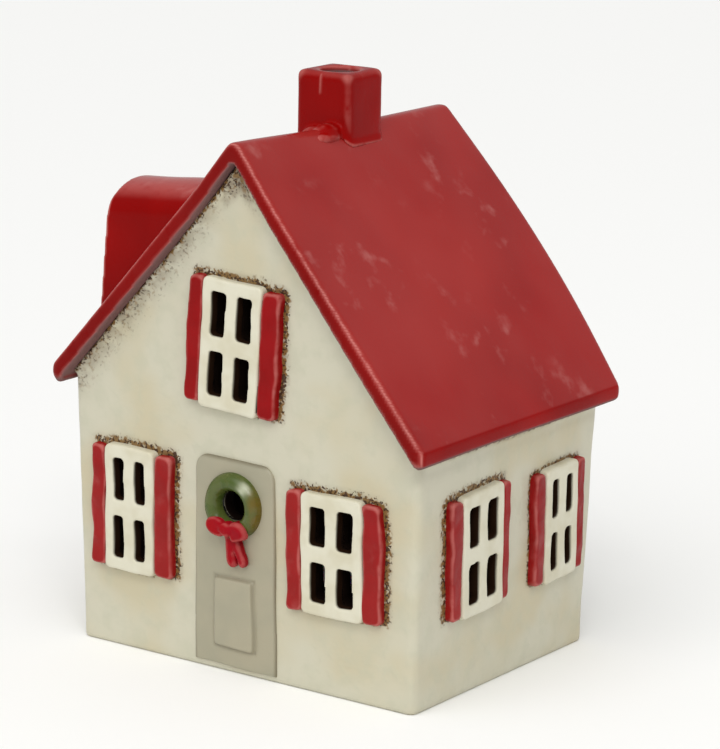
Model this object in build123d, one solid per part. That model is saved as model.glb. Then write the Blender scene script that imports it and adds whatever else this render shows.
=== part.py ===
from build123d import *
import math
import os
from dataclasses import dataclass

# Ceramic tealight house: a slab-built cottage with a steep roof, a chimney, one dormer, shuttered windows
# and a door with a wreath. The front faces -Y, the floor lies on z = 0 and the tealight goes in from +Y.

# Walls and floor, measured outside at the foot; the walls lean outwards as they rise
house_width = 111.6
house_depth = 83.8
wall_thickness = 5.0
floor_thickness = 5.0
wall_lean = 1.2
corner_radius = 2.2
foot_radius = 1.6

# Roof, top surface at the ridge and at the tips of the eaves; the left eave sits a little higher
ridge_height = 146.2
left_eave_height = 78.2
right_eave_height = 72.8
eave_overhang = 5.4
verge_overhang = 7.0
roof_plumb_thickness = 6.8
eave_lip = 4.4
ridge_radius = 3.0
eave_radius = 1.8
verge_radius = 1.5

# Clay coil worked into the joint under each eave, down to one level on both sides
coil_drop = 2.4
coil_hollow_share = 0.05

# Chimney, a little to the left of the ridge and behind the middle
chimney_width = 17.8
chimney_depth = 16.6
chimney_rise = 13.0
chimney_left_of_ridge = 3.7
chimney_behind_middle = 3.9
chimney_corner_radius = 1.8
chimney_top_radius = 1.8
flue_diameter = 10.4
collar_width = 0.8
collar_height = 1.2

# Dormer on the left slope: a slab bent over into a barrel top, closed by an upright face
dormer_width = 26.0
dormer_ahead_of_middle = 17.2
dormer_below_ridge = 20.2
dormer_arch_rise = 9.0
dormer_crown_slope = 4.9
dormer_face_lean = 5.0
dormer_face_setback = 0.8
dormer_slab = 3.0
dormer_face_recess = 1.2
dormer_face_clearance = 0.1
dormer_well_ledge = 1.5
dormer_window_width_share = 0.48
dormer_window_height_share = 0.348
dormer_window_up_share = 0.56

# Windows: frames with two by two panes cut through frame and wall
frame_thickness = 2.6
frame_radius = 1.6
frame_edge_radius = 0.7
stile_width = 2.9
mullion_width = 3.6
rail_width = 3.5
transom_width = 4.3
pane_radius = 1.0
dormer_bar_share = 0.5
ground_sill_height = 22.5
gable_window_width = 19.4
gable_sill_above_eave = 0.3
gable_window_below_roof = 11.9
gable_window_lean = -3.6
gable_window_left_of_middle = 2.3
front_left_window_width = 16.8
front_left_window_height = 35.4
front_left_window_lean = -0.5
front_left_window_bay_share = 0.525
front_right_window_width = 19.7
front_right_window_height = 33.4
front_right_window_lean = 0.3
front_right_window_bay_share = 0.432
side_front_window_width = 19.4
side_front_window_height = 34.0
side_front_window_across_share = -0.181
side_rear_window_width = 16.2
side_rear_window_height = 32.8
side_rear_window_across_share = 0.282
side_window_lean = 2.6

# Shutters beside every frame
left_shutter_width = 4.8
right_shutter_width = 5.8
shutter_thickness = 2.4
shutter_shortfall = 1.0
shutter_radius = 1.4
shutter_edge_radius = 0.6

# Door with its raised panel
door_width = 27.6
door_height = 58.4
door_thickness = 1.0
door_top_share = 0.93
door_radius = 4.2
door_across = -2.0
door_edge_radius = 0.4
door_panel_width = 12.6
door_panel_below_bow = 4.1
door_panel_thickness = 0.7
door_panel_radius = 1.2
door_panel_above_foot = 5.7

# Wreath on the door, round a hole that goes through door and wall
wreath_diameter = 18.2
wreath_hole_diameter = 8.4
wreath_below_door_top = 12.6
wreath_lift_share = 0.1

# Bow on the wreath
bow_span = 12.4
bow_loop_height = 5.2
bow_below_wreath_centre = 5.6
bow_left_of_wreath = 1.5
bow_lean = -7.0
bow_stand_off = 0.8
bow_knot_diameter = 3.4
bow_knot_rise = 0.4
bow_tail_width = 3.6
bow_tail_length = 11.0
bow_tail_thickness = 1.8
bow_tail_splay = 21.0
bow_tail_lean = 9.0
bow_tail_gap = 0.3
bow_edge_radius = 0.3

# Arched opening in the back wall for the tealight
arch_clearance = 4.0
arch_height = 44.0

# Tealight
cup_diameter = 38.0
cup_height = 16.0
cup_foil = 0.4
cup_rim = 0.5
cup_clearance = 0.1
wax_height = 11.5
wax_shrinkage = 0.15
sustainer_diameter = 13.0
sustainer_thickness = 0.5
sustainer_neck_diameter = 3.4
sustainer_neck_height = 3.0
wick_diameter = 1.6
wick_above_wax = 6.0

# Length by which a cutting tool passes the faces it cuts
cut_overrun = 1.0

# Places that follow from the sizes above
half_span = house_width / 2 + eave_overhang
roof_length = house_depth + 2 * verge_overhang
left_slope = (ridge_height - left_eave_height) / half_span
right_slope = (ridge_height - right_eave_height) / half_span
lean_rise = math.tan(math.radians(wall_lean))
lean_cosine = math.cos(math.radians(wall_lean))
lean_sine = math.sin(math.radians(wall_lean))
chimney_place = Pos(-chimney_left_of_ridge, chimney_behind_middle)
tealight_floor = floor_thickness + cup_clearance

dormer_crown_height = ridge_height - dormer_below_ridge
gable_sill_height = right_eave_height + gable_sill_above_eave
gable_window_reach = gable_window_left_of_middle + gable_window_width / 2 + left_shutter_width
gable_soffit_height = ridge_height - roof_plumb_thickness - left_slope * gable_window_reach
gable_window_height = gable_soffit_height - gable_window_below_roof - gable_sill_height
door_left_edge = door_across - door_width / 2
door_right_edge = door_across + door_width / 2

# Dormer's face, leaning in as it rises, drawn back from the tip of the left eave
dormer_lean_cosine = math.cos(math.radians(dormer_face_lean))
dormer_lean_sine = math.sin(math.radians(dormer_face_lean))
dormer_mouth = Plane(
    (dormer_face_setback - half_span, -dormer_ahead_of_middle, left_eave_height),
    x_dir=(0, -1, 0),
    z_dir=(-dormer_lean_cosine, 0, dormer_lean_sine),
)

# Outer faces that carry windows: local X runs to the viewer's right, local Y upwards, local Z outwards
wall_faces = {
    "front_wall": Plane((0, -house_depth / 2, 0), x_dir=(1, 0, 0), z_dir=(0, -lean_cosine, -lean_sine)),
    "right_wall": Plane((house_width / 2, 0, 0), x_dir=(0, 1, 0), z_dir=(lean_cosine, 0, -lean_sine)),
    "left_wall": Plane((-house_width / 2, 0, 0), x_dir=(0, -1, 0), z_dir=(-lean_cosine, 0, -lean_sine)),
    "dormer_face": dormer_mouth.offset(-dormer_face_recess),
}


def across_house(points, length):
    """Prism with the given outline in X and Z, centred on the middle of the house and length long in Y."""
    return extrude(Plane.XZ * make_face(Polyline(*points, close=True)), amount=length / 2, both=True)


def upper_solid(shape):
    """The highest of the solids that a cut left."""
    return shape.solids().sort_by(Axis.Z)[-1]


def largest_solids(shape, count):
    """The given number of largest solids of a shape, without the slivers that a cut left."""
    kept = shape.solids().sort_by(SortBy.VOLUME)[-count:]
    return Compound(kept) if count > 1 else kept[0]


def soft_slab(outline, thickness, edge_radius):
    """Slab of the outline with its front edges rounded, lying on z = 0."""
    slab = extrude(outline, amount=thickness)
    return fillet(slab.faces().sort_by(Axis.Z)[-1].edges(), edge_radius)


def make_roof():
    """Both slopes as one soft-edged piece, before it is parted at the ridge."""
    right_run = (roof_plumb_thickness - eave_lip) / right_slope
    left_run = (roof_plumb_thickness - eave_lip) / left_slope
    section = make_face(
        Polyline(
            (0, ridge_height),
            (half_span, right_eave_height),
            (half_span, right_eave_height - eave_lip),
            (half_span - right_run, right_eave_height - eave_lip),
            (0, ridge_height - roof_plumb_thickness),
            (left_run - half_span, left_eave_height - eave_lip),
            (-half_span, left_eave_height - eave_lip),
            (-half_span, left_eave_height),
            close=True,
        )
    )
    corners = section.vertices()
    ridge_corner = corners.sort_by(Axis.Y)[-1]
    tip_corners = corners.group_by(Axis.X)[0] + corners.group_by(Axis.X)[-1]
    section = fillet(ridge_corner, ridge_radius)
    section = fillet([near(section.vertices(), tip) for tip in tip_corners], eave_radius)
    roof = extrude(Plane.XZ * section, amount=roof_length / 2, both=True)
    ends = roof.faces().sort_by(Axis.Y)
    verges = [edge for end in (ends[0], ends[-1]) for edge in end.edges() if is_outside(edge)]
    return fillet(verges, verge_radius)


def near(vertices, corner):
    """The vertex that lies where the corner was."""
    return vertices.sort_by_distance(corner)[0]


def is_outside(edge):
    """Whether an edge of the roof's end belongs to its top or its tips rather than to its underside."""
    middle = edge.center()
    slope = right_slope if middle.X > 0 else left_slope
    below_top = ridge_height - slope * abs(middle.X) - middle.Z
    return below_top < (roof_plumb_thickness + eave_lip) / 2 + eave_radius / 2


def under_roof():
    """All the room under the roof, out to the tips of the eaves."""
    return across_house(
        [
            (-half_span, 0),
            (half_span, 0),
            (half_span, right_eave_height - roof_plumb_thickness),
            (0, ridge_height - roof_plumb_thickness),
            (-half_span, left_eave_height - roof_plumb_thickness),
        ],
        roof_length,
    )


def house_block(inset):
    """Leaning block of the house, its sides drawn in by the inset."""
    plan = Rectangle(house_width - 2 * inset, house_depth - 2 * inset)
    return extrude(plan, amount=ridge_height, taper=-wall_lean)


def make_outer_block():
    """The house as a solid block with rounded corners and a rounded foot."""
    block = house_block(0)
    block = fillet(block.edges().group_by(Axis.Z)[1], corner_radius)
    return fillet(block.faces().sort_by(Axis.Z)[0].edges(), foot_radius)


def make_walls(outer_block):
    """The four wall slabs, mitred at the corners: front, back, left and right."""
    shell = (outer_block - house_block(wall_thickness)) & under_roof()
    x_out = house_width / 2 + verge_overhang
    y_out = house_depth / 2 + verge_overhang
    x_in = house_width / 2 - 2 * wall_thickness
    y_in = house_depth / 2 - 2 * wall_thickness
    front = [(-x_out, -y_out), (x_out, -y_out), (x_in, -y_in), (-x_in, -y_in)]
    left = [(-x_out, -y_out), (-x_in, -y_in), (-x_in, y_in), (-x_out, y_out)]
    plans = {
        "front_wall": front,
        "back_wall": [(x, -y) for x, y in front],
        "left_wall": left,
        "right_wall": [(-x, y) for x, y in left],
    }
    return {
        name: shell & extrude(make_face(Polyline(*plan, close=True)), amount=ridge_height)
        for name, plan in plans.items()
    }


def make_floor():
    """Floor slab that fills the foot of the walls."""
    return split(house_block(wall_thickness), bisect_by=Plane.XY.offset(floor_thickness), keep=Keep.BOTTOM)


def make_eave_coil(side, slope, eave_height, outer_block, roof):
    """Hollow-faced coil of clay between a side wall and the underside of the eave; side is -1 or 1."""
    soffit_height = eave_height - eave_lip
    soffit_edge = half_span - (roof_plumb_thickness - eave_lip) / slope
    foot_height = min(left_eave_height, right_eave_height) - eave_lip - coil_drop
    wall_at_foot = house_width / 2 + foot_height * lean_rise
    inside = wall_at_foot - wall_thickness / 2
    top = ridge_height - roof_plumb_thickness - slope * inside
    hollow = (
        (wall_at_foot + soffit_edge) / 2 - coil_hollow_share * (soffit_height - foot_height),
        (foot_height + soffit_height) / 2 + coil_hollow_share * (soffit_edge - wall_at_foot),
    )
    back = Polyline(
        (side * soffit_edge, soffit_height),
        (side * inside, top),
        (side * inside, foot_height),
        (side * wall_at_foot, foot_height),
    )
    face = ThreePointArc(
        (side * wall_at_foot, foot_height),
        (side * hollow[0], hollow[1]),
        (side * soffit_edge, soffit_height),
    )
    length = house_depth - corner_radius
    coil = extrude(Plane.XZ * make_face(Curve() + [back, face]), amount=length / 2, both=True)
    return largest_solids(coil - outer_block - roof, 1)


def make_flue():
    """Round flue from inside the roof to above the chimney."""
    height = chimney_rise + 2 * roof_plumb_thickness + left_slope * chimney_width
    top = ridge_height + chimney_rise + cut_overrun
    flue = Cylinder(flue_diameter / 2, height, align=(Align.CENTER, Align.CENTER, Align.MAX))
    return Pos(0, 0, top) * chimney_place * flue


def chimney_block(growth):
    """Upright block at the chimney's place, wider than the stack by the growth on each side."""
    plan_size = (chimney_width + 2 * growth, chimney_depth + 2 * growth)
    plan = RectangleRounded(*plan_size, chimney_corner_radius + growth)
    reach = left_slope * (chimney_left_of_ridge + chimney_width)
    block = extrude(plan, amount=reach + chimney_rise)
    return Pos(0, 0, ridge_height - reach) * chimney_place * block


def make_chimney(roof):
    """Chimney stack that sits astride the ridge."""
    block = chimney_block(0)
    block = fillet(block.faces().sort_by(Axis.Z)[-1].edges(), chimney_top_radius)
    return upper_solid(block - roof - under_roof()) - make_flue()


def make_collar(roof):
    """Skirt of clay round the chimney's foot, following both slopes."""
    skirt = chimney_block(collar_width) & (Pos(0, 0, collar_height) * roof)
    return upper_solid(skirt - roof - under_roof() - chimney_block(0))


def dormer_profile(inset):
    """Outline of the dormer seen from the left: straight cheeks under a flat arch, less the inset."""
    half = dormer_width / 2 - inset
    rise = dormer_arch_rise - inset
    spring = dormer_crown_height - dormer_arch_rise
    foot = left_eave_height - roof_plumb_thickness
    corners = [(-half, foot), (half, foot), (half, spring), (-half, spring)]
    cheeks = make_face(Polyline(*corners, close=True))
    crown = Pos(0, spring) * Ellipse(half, rise)
    return cheeks + crown


def dormer_plane():
    """Upright plane over the tip of the left eave, facing into the house, across the dormer's middle."""
    return Plane((-half_span, -dormer_ahead_of_middle, 0), x_dir=(0, 1, 0), z_dir=(1, 0, 0))


def dormer_body(inset):
    """Barrel of the dormer from the eave to past the ridge, its crown rising towards the ridge."""
    rise = math.tan(math.radians(dormer_crown_slope))
    return extrude(dormer_plane() * dormer_profile(inset), amount=half_span, dir=(1, 0, rise))


def make_dormer_hood(roof):
    """Cheeks and barrel top in one bent slab."""
    shell = dormer_body(0) - dormer_body(dormer_slab)
    shell = split(shell, bisect_by=dormer_mouth, keep=Keep.BOTTOM)
    return upper_solid(shell - roof - under_roof())


def make_dormer_face(roof):
    """Slab that closes the mouth of the hood, with the panes cut through."""
    plug = dormer_body(dormer_slab + dormer_face_clearance)
    plug = split(plug, bisect_by=wall_faces["dormer_face"], keep=Keep.BOTTOM)
    plug = split(plug, bisect_by=wall_faces["dormer_face"].offset(-dormer_slab), keep=Keep.TOP)
    return upper_solid(plug - roof - under_roof())


def make_dormer_well():
    """Upright cut through the left slab that lets light up into the dormer."""
    half = dormer_width / 2 - dormer_slab - dormer_well_ledge
    outer = half_span - eave_overhang - wall_thickness - dormer_well_ledge
    crown = dormer_crown_height - dormer_slab
    inner = (ridge_height - crown) / left_slope + dormer_slab + dormer_well_ledge
    size = (outer - inner, 2 * half, ridge_height)
    well = Box(*size, align=(Align.MIN, Align.CENTER, Align.MIN))
    return Pos(-outer, -dormer_ahead_of_middle, 0) * well


@dataclass
class Window:
    """A window on a wall: its middle is across and up from the wall's foot, turned by lean."""

    name: str
    wall: str
    across: float
    up: float
    width: float
    height: float
    lean: float
    bar_share: float = 1.0

    def place(self):
        """Location of the window's middle on the wall's face."""
        return wall_faces[self.wall] * Pos(self.across, self.up) * Rot(0, 0, self.lean)

    def pane_outlines(self):
        """The four panes, as outlines on the wall."""
        bar = self.bar_share
        pane_width = (self.width - bar * (2 * stile_width + mullion_width)) / 2
        pane_height = (self.height - bar * (2 * rail_width + transom_width)) / 2
        step_across = pane_width + bar * mullion_width
        step_up = pane_height + bar * transom_width
        radius = bar * pane_radius
        return GridLocations(step_across, step_up, 2, 2) * RectangleRounded(pane_width, pane_height, radius)

    def pane_cut(self, depth):
        """Cutter for the panes, from in front of the frame to the given depth behind the wall's face."""
        length = frame_thickness + depth + 2 * cut_overrun
        cutter = extrude(Sketch() + self.pane_outlines(), amount=length)
        return self.place() * Pos(0, 0, -depth - cut_overrun) * cutter

    def frame(self):
        """Frame slab with its panes."""
        outline = RectangleRounded(self.width, self.height, frame_radius)
        slab = soft_slab(outline, frame_thickness, frame_edge_radius)
        return self.place() * slab - self.pane_cut(0)

    def shutter(self, side):
        """Shutter strip on one side of the frame; side is -1 or 1."""
        width = left_shutter_width if side < 0 else right_shutter_width
        outline = RectangleRounded(width, self.height - shutter_shortfall, shutter_radius)
        strip = soft_slab(outline, shutter_thickness, shutter_edge_radius)
        return self.place() * Pos(side * (self.width + width) / 2, 0, 0) * strip


def make_windows():
    """Every window of the house except the dormer's."""
    return [
        Window(
            "gable_window",
            "front_wall",
            -gable_window_left_of_middle,
            gable_sill_height + gable_window_height / 2,
            gable_window_width,
            gable_window_height,
            gable_window_lean,
        ),
        Window(
            "front_left_window",
            "front_wall",
            door_left_edge - front_left_window_bay_share * (house_width / 2 + door_left_edge),
            ground_sill_height + front_left_window_height / 2,
            front_left_window_width,
            front_left_window_height,
            front_left_window_lean,
        ),
        Window(
            "front_right_window",
            "front_wall",
            door_right_edge + front_right_window_bay_share * (house_width / 2 - door_right_edge),
            ground_sill_height + front_right_window_height / 2,
            front_right_window_width,
            front_right_window_height,
            front_right_window_lean,
        ),
        *side_windows("right", 1),
        *side_windows("left", -1),
    ]


def side_windows(side, mirror):
    """The front and rear windows of a side wall; mirror is -1 where local X runs from back to front."""
    return [
        Window(
            f"{side}_front_window",
            f"{side}_wall",
            mirror * side_front_window_across_share * house_depth,
            ground_sill_height + side_front_window_height / 2,
            side_front_window_width,
            side_front_window_height,
            mirror * side_window_lean,
        ),
        Window(
            f"{side}_rear_window",
            f"{side}_wall",
            mirror * side_rear_window_across_share * house_depth,
            ground_sill_height + side_rear_window_height / 2,
            side_rear_window_width,
            side_rear_window_height,
            mirror * side_window_lean,
        ),
    ]


def dormer_window():
    """The small window on the dormer's face."""
    face_height = (dormer_crown_height - left_eave_height) / dormer_lean_cosine
    return Window(
        "dormer_window",
        "dormer_face",
        0,
        dormer_window_up_share * face_height,
        dormer_window_width_share * dormer_width,
        dormer_window_height_share * face_height,
        0,
        dormer_bar_share,
    )


def door_place():
    """Middle of the door's foot on the front wall."""
    return wall_faces["front_wall"] * Pos(door_across, foot_radius)


def make_door():
    """Door slab, a little narrower at its rounded top, with the hole inside the wreath."""
    half_foot = door_width / 2
    half_top = door_top_share * half_foot
    corners = [(-half_foot, 0), (half_foot, 0), (half_top, door_height), (-half_top, door_height)]
    outline = make_face(Polyline(*corners, close=True))
    outline = fillet(outline.vertices().group_by(Axis.Y)[-1], door_radius)
    return door_place() * soft_slab(outline, door_thickness, door_edge_radius) - make_wreath_hole()


def make_door_panel():
    """Raised lower panel of the door."""
    bow_foot = door_height - wreath_below_door_top - bow_below_wreath_centre - bow_tail_length
    height = bow_foot - door_panel_below_bow - door_panel_above_foot
    outline = RectangleRounded(door_panel_width, height, door_panel_radius)
    panel = soft_slab(outline, door_panel_thickness, door_edge_radius)
    return door_place() * Pos(0, door_panel_above_foot + height / 2, door_thickness) * panel


def wreath_place():
    """Middle of the wreath on the door's face."""
    return door_place() * Pos(0, door_height - wreath_below_door_top, door_thickness)


def make_wreath_hole():
    """Round hole through the door and the wall inside the wreath."""
    length = door_thickness + wall_thickness + 2 * cut_overrun
    hole = Cylinder(wreath_hole_diameter / 2, length, align=(Align.CENTER, Align.CENTER, Align.MAX))
    return wreath_place() * Pos(0, 0, cut_overrun) * hole


def make_wreath():
    """Ring of the wreath, pressed on to the door so that its back is flat."""
    tube = (wreath_diameter - wreath_hole_diameter) / 4
    ring = Torus((wreath_diameter + wreath_hole_diameter) / 4, tube)
    ring = Pos(0, 0, wreath_lift_share * tube) * ring
    return wreath_place() * split(ring, bisect_by=Plane.XY, keep=Keep.TOP)


def bow_place():
    """Middle of the bow, on the lower part of the wreath."""
    return wreath_place() * Pos(-bow_left_of_wreath, -bow_below_wreath_centre) * Rot(0, 0, bow_lean)


def bow_height():
    """Height of the bow's loops over the door, just above the top of the ring."""
    tube = (wreath_diameter - wreath_hole_diameter) / 4
    return tube * (1 + wreath_lift_share) + bow_stand_off


def make_bow_knot():
    """Knot between the loops, from the door to just above them."""
    height = bow_height() + bow_knot_rise
    knot = Cylinder(bow_knot_diameter / 2, height, align=(Align.CENTER, Align.CENTER, Align.MIN))
    knot = fillet(knot.faces().sort_by(Axis.Z)[-1].edges(), bow_edge_radius)
    return bow_place() * knot - make_wreath()


def make_bow_loops():
    """Two loops that widen away from the knot, pressed over the ring."""
    half_span_of_bow = bow_span / 2
    half_height = bow_loop_height / 2
    outer = half_span_of_bow - half_height
    loops = Part()
    for side in (-1, 1):
        lobe = Pos(side * outer, 0) * Circle(half_height)
        neck = make_face(
            Polyline((0, 0), (side * outer, half_height), (side * outer, -half_height), close=True)
        )
        loops += soft_slab(lobe + neck, bow_height(), bow_edge_radius)
    return largest_solids(bow_place() * loops - make_wreath() - make_bow_knot(), 2)


def make_bow_tails():
    """Two tails that hang from the knot and splay apart on the door."""
    tails = Part()
    for side in (-1, 1):
        outline = Pos(0, -bow_tail_length / 2) * SlotOverall(bow_tail_length, bow_tail_width, rotation=90)
        strip = soft_slab(outline, bow_tail_thickness, bow_edge_radius)
        half_room = Pos(side * (bow_tail_length + bow_tail_gap) / 2, 0) * Box(
            bow_tail_length, 4 * bow_tail_length, 2 * bow_tail_length
        )
        tails += (Rot(0, 0, side * bow_tail_splay) * strip) & half_room
    tails = bow_place() * Rot(0, 0, bow_tail_lean) * tails
    return largest_solids(tails - make_wreath() - make_bow_knot() - make_bow_loops(), 2)


def make_arch_cut():
    """Cutter for the arched opening, from the floor upwards through the back wall."""
    radius = cup_diameter / 2 + arch_clearance
    spring = floor_thickness + arch_height - radius
    corners = [(-radius, floor_thickness), (radius, floor_thickness), (radius, spring), (-radius, spring)]
    outline = make_face(Polyline(*corners, close=True))
    outline += Pos(0, spring) * Circle(radius)
    length = wall_thickness + verge_overhang + 2 * cut_overrun
    start = house_depth / 2 - wall_thickness - cut_overrun
    return Pos(0, start, 0) * extrude(Plane.XZ * outline, amount=-length)


def make_cup():
    """Pressed aluminium cup with a rolled rim."""
    radius = cup_diameter / 2
    section = make_face(
        Polyline(
            (0, 0),
            (radius, 0),
            (radius, cup_height),
            (radius - cup_foil, cup_height),
            (radius - cup_foil, cup_foil),
            (0, cup_foil),
            close=True,
        )
    )
    section += Pos(radius, cup_height - cup_rim) * Circle(cup_rim)
    return Pos(0, 0, tealight_floor) * revolve(Plane.XZ * section, Axis.Z)


def make_sustainer():
    """Tin disc with a short neck that grips the wick."""
    on_base = (Align.CENTER, Align.CENTER, Align.MIN)
    disc = Cylinder(sustainer_diameter / 2, sustainer_thickness, align=on_base)
    neck = Cylinder(sustainer_neck_diameter / 2, sustainer_neck_height, align=on_base)
    return Pos(0, 0, tealight_floor + cup_foil) * (disc + neck) - make_wick()


def make_wick():
    """Cotton wick from the disc's top face to above the wax."""
    length = wax_height + wick_above_wax - sustainer_thickness
    wick = Cylinder(wick_diameter / 2, length, align=(Align.CENTER, Align.CENTER, Align.MIN))
    return Pos(0, 0, tealight_floor + cup_foil + sustainer_thickness) * wick


def make_wax():
    """Wax cast round the disc and the wick, shrunk a little from the cup."""
    radius = cup_diameter / 2 - cup_foil - wax_shrinkage
    wax = Cylinder(radius, wax_height, align=(Align.CENTER, Align.CENTER, Align.MIN))
    return Pos(0, 0, tealight_floor + cup_foil) * wax - make_sustainer() - make_wick()


def make_house():
    """Every piece of the tealight house, keyed by its node's name."""
    roof = make_roof()
    outer_block = make_outer_block()
    pieces = make_walls(outer_block)
    pieces["floor_slab"] = make_floor()

    for window in make_windows():
        pieces[window.wall] -= window.pane_cut(wall_thickness)
        pieces[f"{window.name}_frame"] = window.frame()
        pieces[f"{window.name}_shutter_left"] = window.shutter(-1)
        pieces[f"{window.name}_shutter_right"] = window.shutter(1)
    pieces["front_wall"] -= make_wreath_hole()
    pieces["back_wall"] -= make_arch_cut()

    opened_roof = roof - make_flue() - make_dormer_well()
    pieces["left_roof_slab"] = split(opened_roof, bisect_by=Plane.YZ, keep=Keep.BOTTOM)
    pieces["right_roof_slab"] = split(opened_roof, bisect_by=Plane.YZ, keep=Keep.TOP)
    pieces["left_eave_coil"] = make_eave_coil(-1, left_slope, left_eave_height, outer_block, roof)
    pieces["right_eave_coil"] = make_eave_coil(1, right_slope, right_eave_height, outer_block, roof)
    pieces["chimney_stack"] = make_chimney(roof)
    pieces["chimney_collar"] = make_collar(roof)
    small_window = dormer_window()
    pieces["dormer_hood"] = make_dormer_hood(roof)
    pieces["dormer_face"] = make_dormer_face(roof) - small_window.pane_cut(dormer_slab)
    pieces["dormer_window_frame"] = small_window.frame()

    pieces["door_slab"] = make_door()
    pieces["door_panel"] = make_door_panel()
    pieces["wreath_ring"] = make_wreath()
    pieces["bow_loops"] = make_bow_loops()
    pieces["bow_knot"] = make_bow_knot()
    pieces["bow_tails"] = make_bow_tails()

    pieces["tealight_cup"] = make_cup()
    pieces["tealight_wax"] = make_wax()
    pieces["wick"] = make_wick()
    pieces["wick_sustainer"] = make_sustainer()
    return pieces


os.makedirs("parts", exist_ok=True)
for node, piece in make_house().items():
    export_step(piece, f"parts/{node}.step")
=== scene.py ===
"""Looks of a glazed earthenware tealight house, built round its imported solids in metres."""

import logging
import math
import random
from collections.abc import Callable
from dataclasses import dataclass
from enum import Enum

import bmesh
import bpy
import numpy as np
from mathutils import Matrix, Vector, kdtree, noise
from mathutils.bvhtree import BVHTree


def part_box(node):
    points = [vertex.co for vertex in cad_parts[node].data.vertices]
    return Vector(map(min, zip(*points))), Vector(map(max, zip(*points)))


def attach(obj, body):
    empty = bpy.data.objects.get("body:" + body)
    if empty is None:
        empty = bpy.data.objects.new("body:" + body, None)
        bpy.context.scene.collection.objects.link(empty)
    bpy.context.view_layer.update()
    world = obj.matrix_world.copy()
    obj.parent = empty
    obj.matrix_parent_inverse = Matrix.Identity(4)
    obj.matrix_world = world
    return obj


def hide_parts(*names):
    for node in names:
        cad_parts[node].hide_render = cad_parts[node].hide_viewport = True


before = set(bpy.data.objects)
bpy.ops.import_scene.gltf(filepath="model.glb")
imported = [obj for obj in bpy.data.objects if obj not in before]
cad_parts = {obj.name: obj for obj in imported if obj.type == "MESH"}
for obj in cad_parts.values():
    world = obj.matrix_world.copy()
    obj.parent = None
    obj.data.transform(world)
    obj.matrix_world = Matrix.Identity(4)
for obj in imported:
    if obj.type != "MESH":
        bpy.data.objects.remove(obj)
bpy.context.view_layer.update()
MM = 0.001
WALL_LEAN = math.radians(1.2)
DORMER_LEAN = math.radians(5.0)
UPWARD = Vector((0, 0, 1))

Socket = bpy.types.NodeSocket
Share = str | float | Socket
Outline = list[tuple[float, float]]

log = logging.getLogger("tealight_house")


class Wall(Enum):
    """Outward normal of each wall face that carries a window."""

    FRONT = (0.0, -math.cos(WALL_LEAN), -math.sin(WALL_LEAN))
    RIGHT = (math.cos(WALL_LEAN), 0.0, -math.sin(WALL_LEAN))
    LEFT = (-math.cos(WALL_LEAN), 0.0, -math.sin(WALL_LEAN))
    DORMER = (-math.cos(DORMER_LEAN), 0.0, math.sin(DORMER_LEAN))

    @property
    def normal(self) -> Vector:
        """Direction out of the wall."""
        return Vector(self.value)

    @property
    def across(self) -> Vector:
        """Direction to the viewer's right along the wall."""
        return UPWARD.cross(self.normal).normalized()

    @property
    def upward(self) -> Vector:
        """Direction up the wall."""
        return self.normal.cross(self.across)


def linear(code: str) -> tuple[float, float, float, float]:
    """Turn an sRGB hex colour into linear RGBA.

    Args:
        code: Six hex digits.

    Returns:
        Linear red, green, blue and full alpha.
    """
    shares = [int(code[i : i + 2], 16) / 255 for i in (0, 2, 4)]
    channels = [s / 12.92 if s <= 0.04045 else ((s + 0.055) / 1.055) ** 2.4 for s in shares]
    return (*channels, 1.0)


def per_size(size: float) -> float:
    """Texture scale at which one feature of a pattern is the given number of millimetres wide."""
    return 1 / (size * MM)


def add_node(
    tree: bpy.types.NodeTree,
    kind: str,
    inputs: dict[str | int, object] | None = None,
    **settings: object,
) -> bpy.types.Node:
    """Add a shader node with its settings, input values and links.

    Args:
        tree: Node tree of the material.
        kind: Blender's name for the node.
        inputs: A value, or a socket to link, for each input by its name or index.
        settings: Attributes of the node.

    Returns:
        The new node.
    """
    node = tree.nodes.new(kind)
    for name, value in settings.items():
        setattr(node, name, value)
    for key, value in (inputs or {}).items():
        if isinstance(value, Socket):
            tree.links.new(value, node.inputs[key])
        else:
            node.inputs[key].default_value = value
    return node


def new_object(name: str, data: bpy.types.ID) -> bpy.types.Object:
    """Make an object from its data and link it to the scene."""
    made = bpy.data.objects.new(name, data)
    bpy.context.scene.collection.objects.link(made)
    return made


def ease(values: np.ndarray, start: float, end: float) -> np.ndarray:
    """Smooth step of values from 0 at start to 1 at end; start may be the larger."""
    share = np.clip((values - start) / (end - start), 0, 1)
    return share * share * (3 - 2 * share)


def noise_at(points: np.ndarray, size: float, seed: int) -> np.ndarray:
    """Smooth noise at points.

    Args:
        points: Rows of places in metres.
        size: Width of a swell, in millimetres.
        seed: Which noise field to read.

    Returns:
        One value from about -1 to 1 for each point.
    """
    shift = Vector((3.7, 1.3, 7.1)) * (seed + 1)
    scale = per_size(size)
    return np.array([noise.noise(Vector(point) * scale + shift) for point in points])


@dataclass(frozen=True)
class Lump:
    """A soft pellet of clay: its middle and its half sizes along X, Y and Z, in millimetres."""

    middle: tuple[float, float, float]
    radii: tuple[float, float, float]

    @property
    def place(self) -> Matrix:
        """Matrix that turns a unit ball into the pellet, in metres."""
        size = Matrix.Diagonal((*(Vector(self.radii) * MM), 1))
        return Matrix.Translation(Vector(self.middle) * MM) @ size


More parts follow.
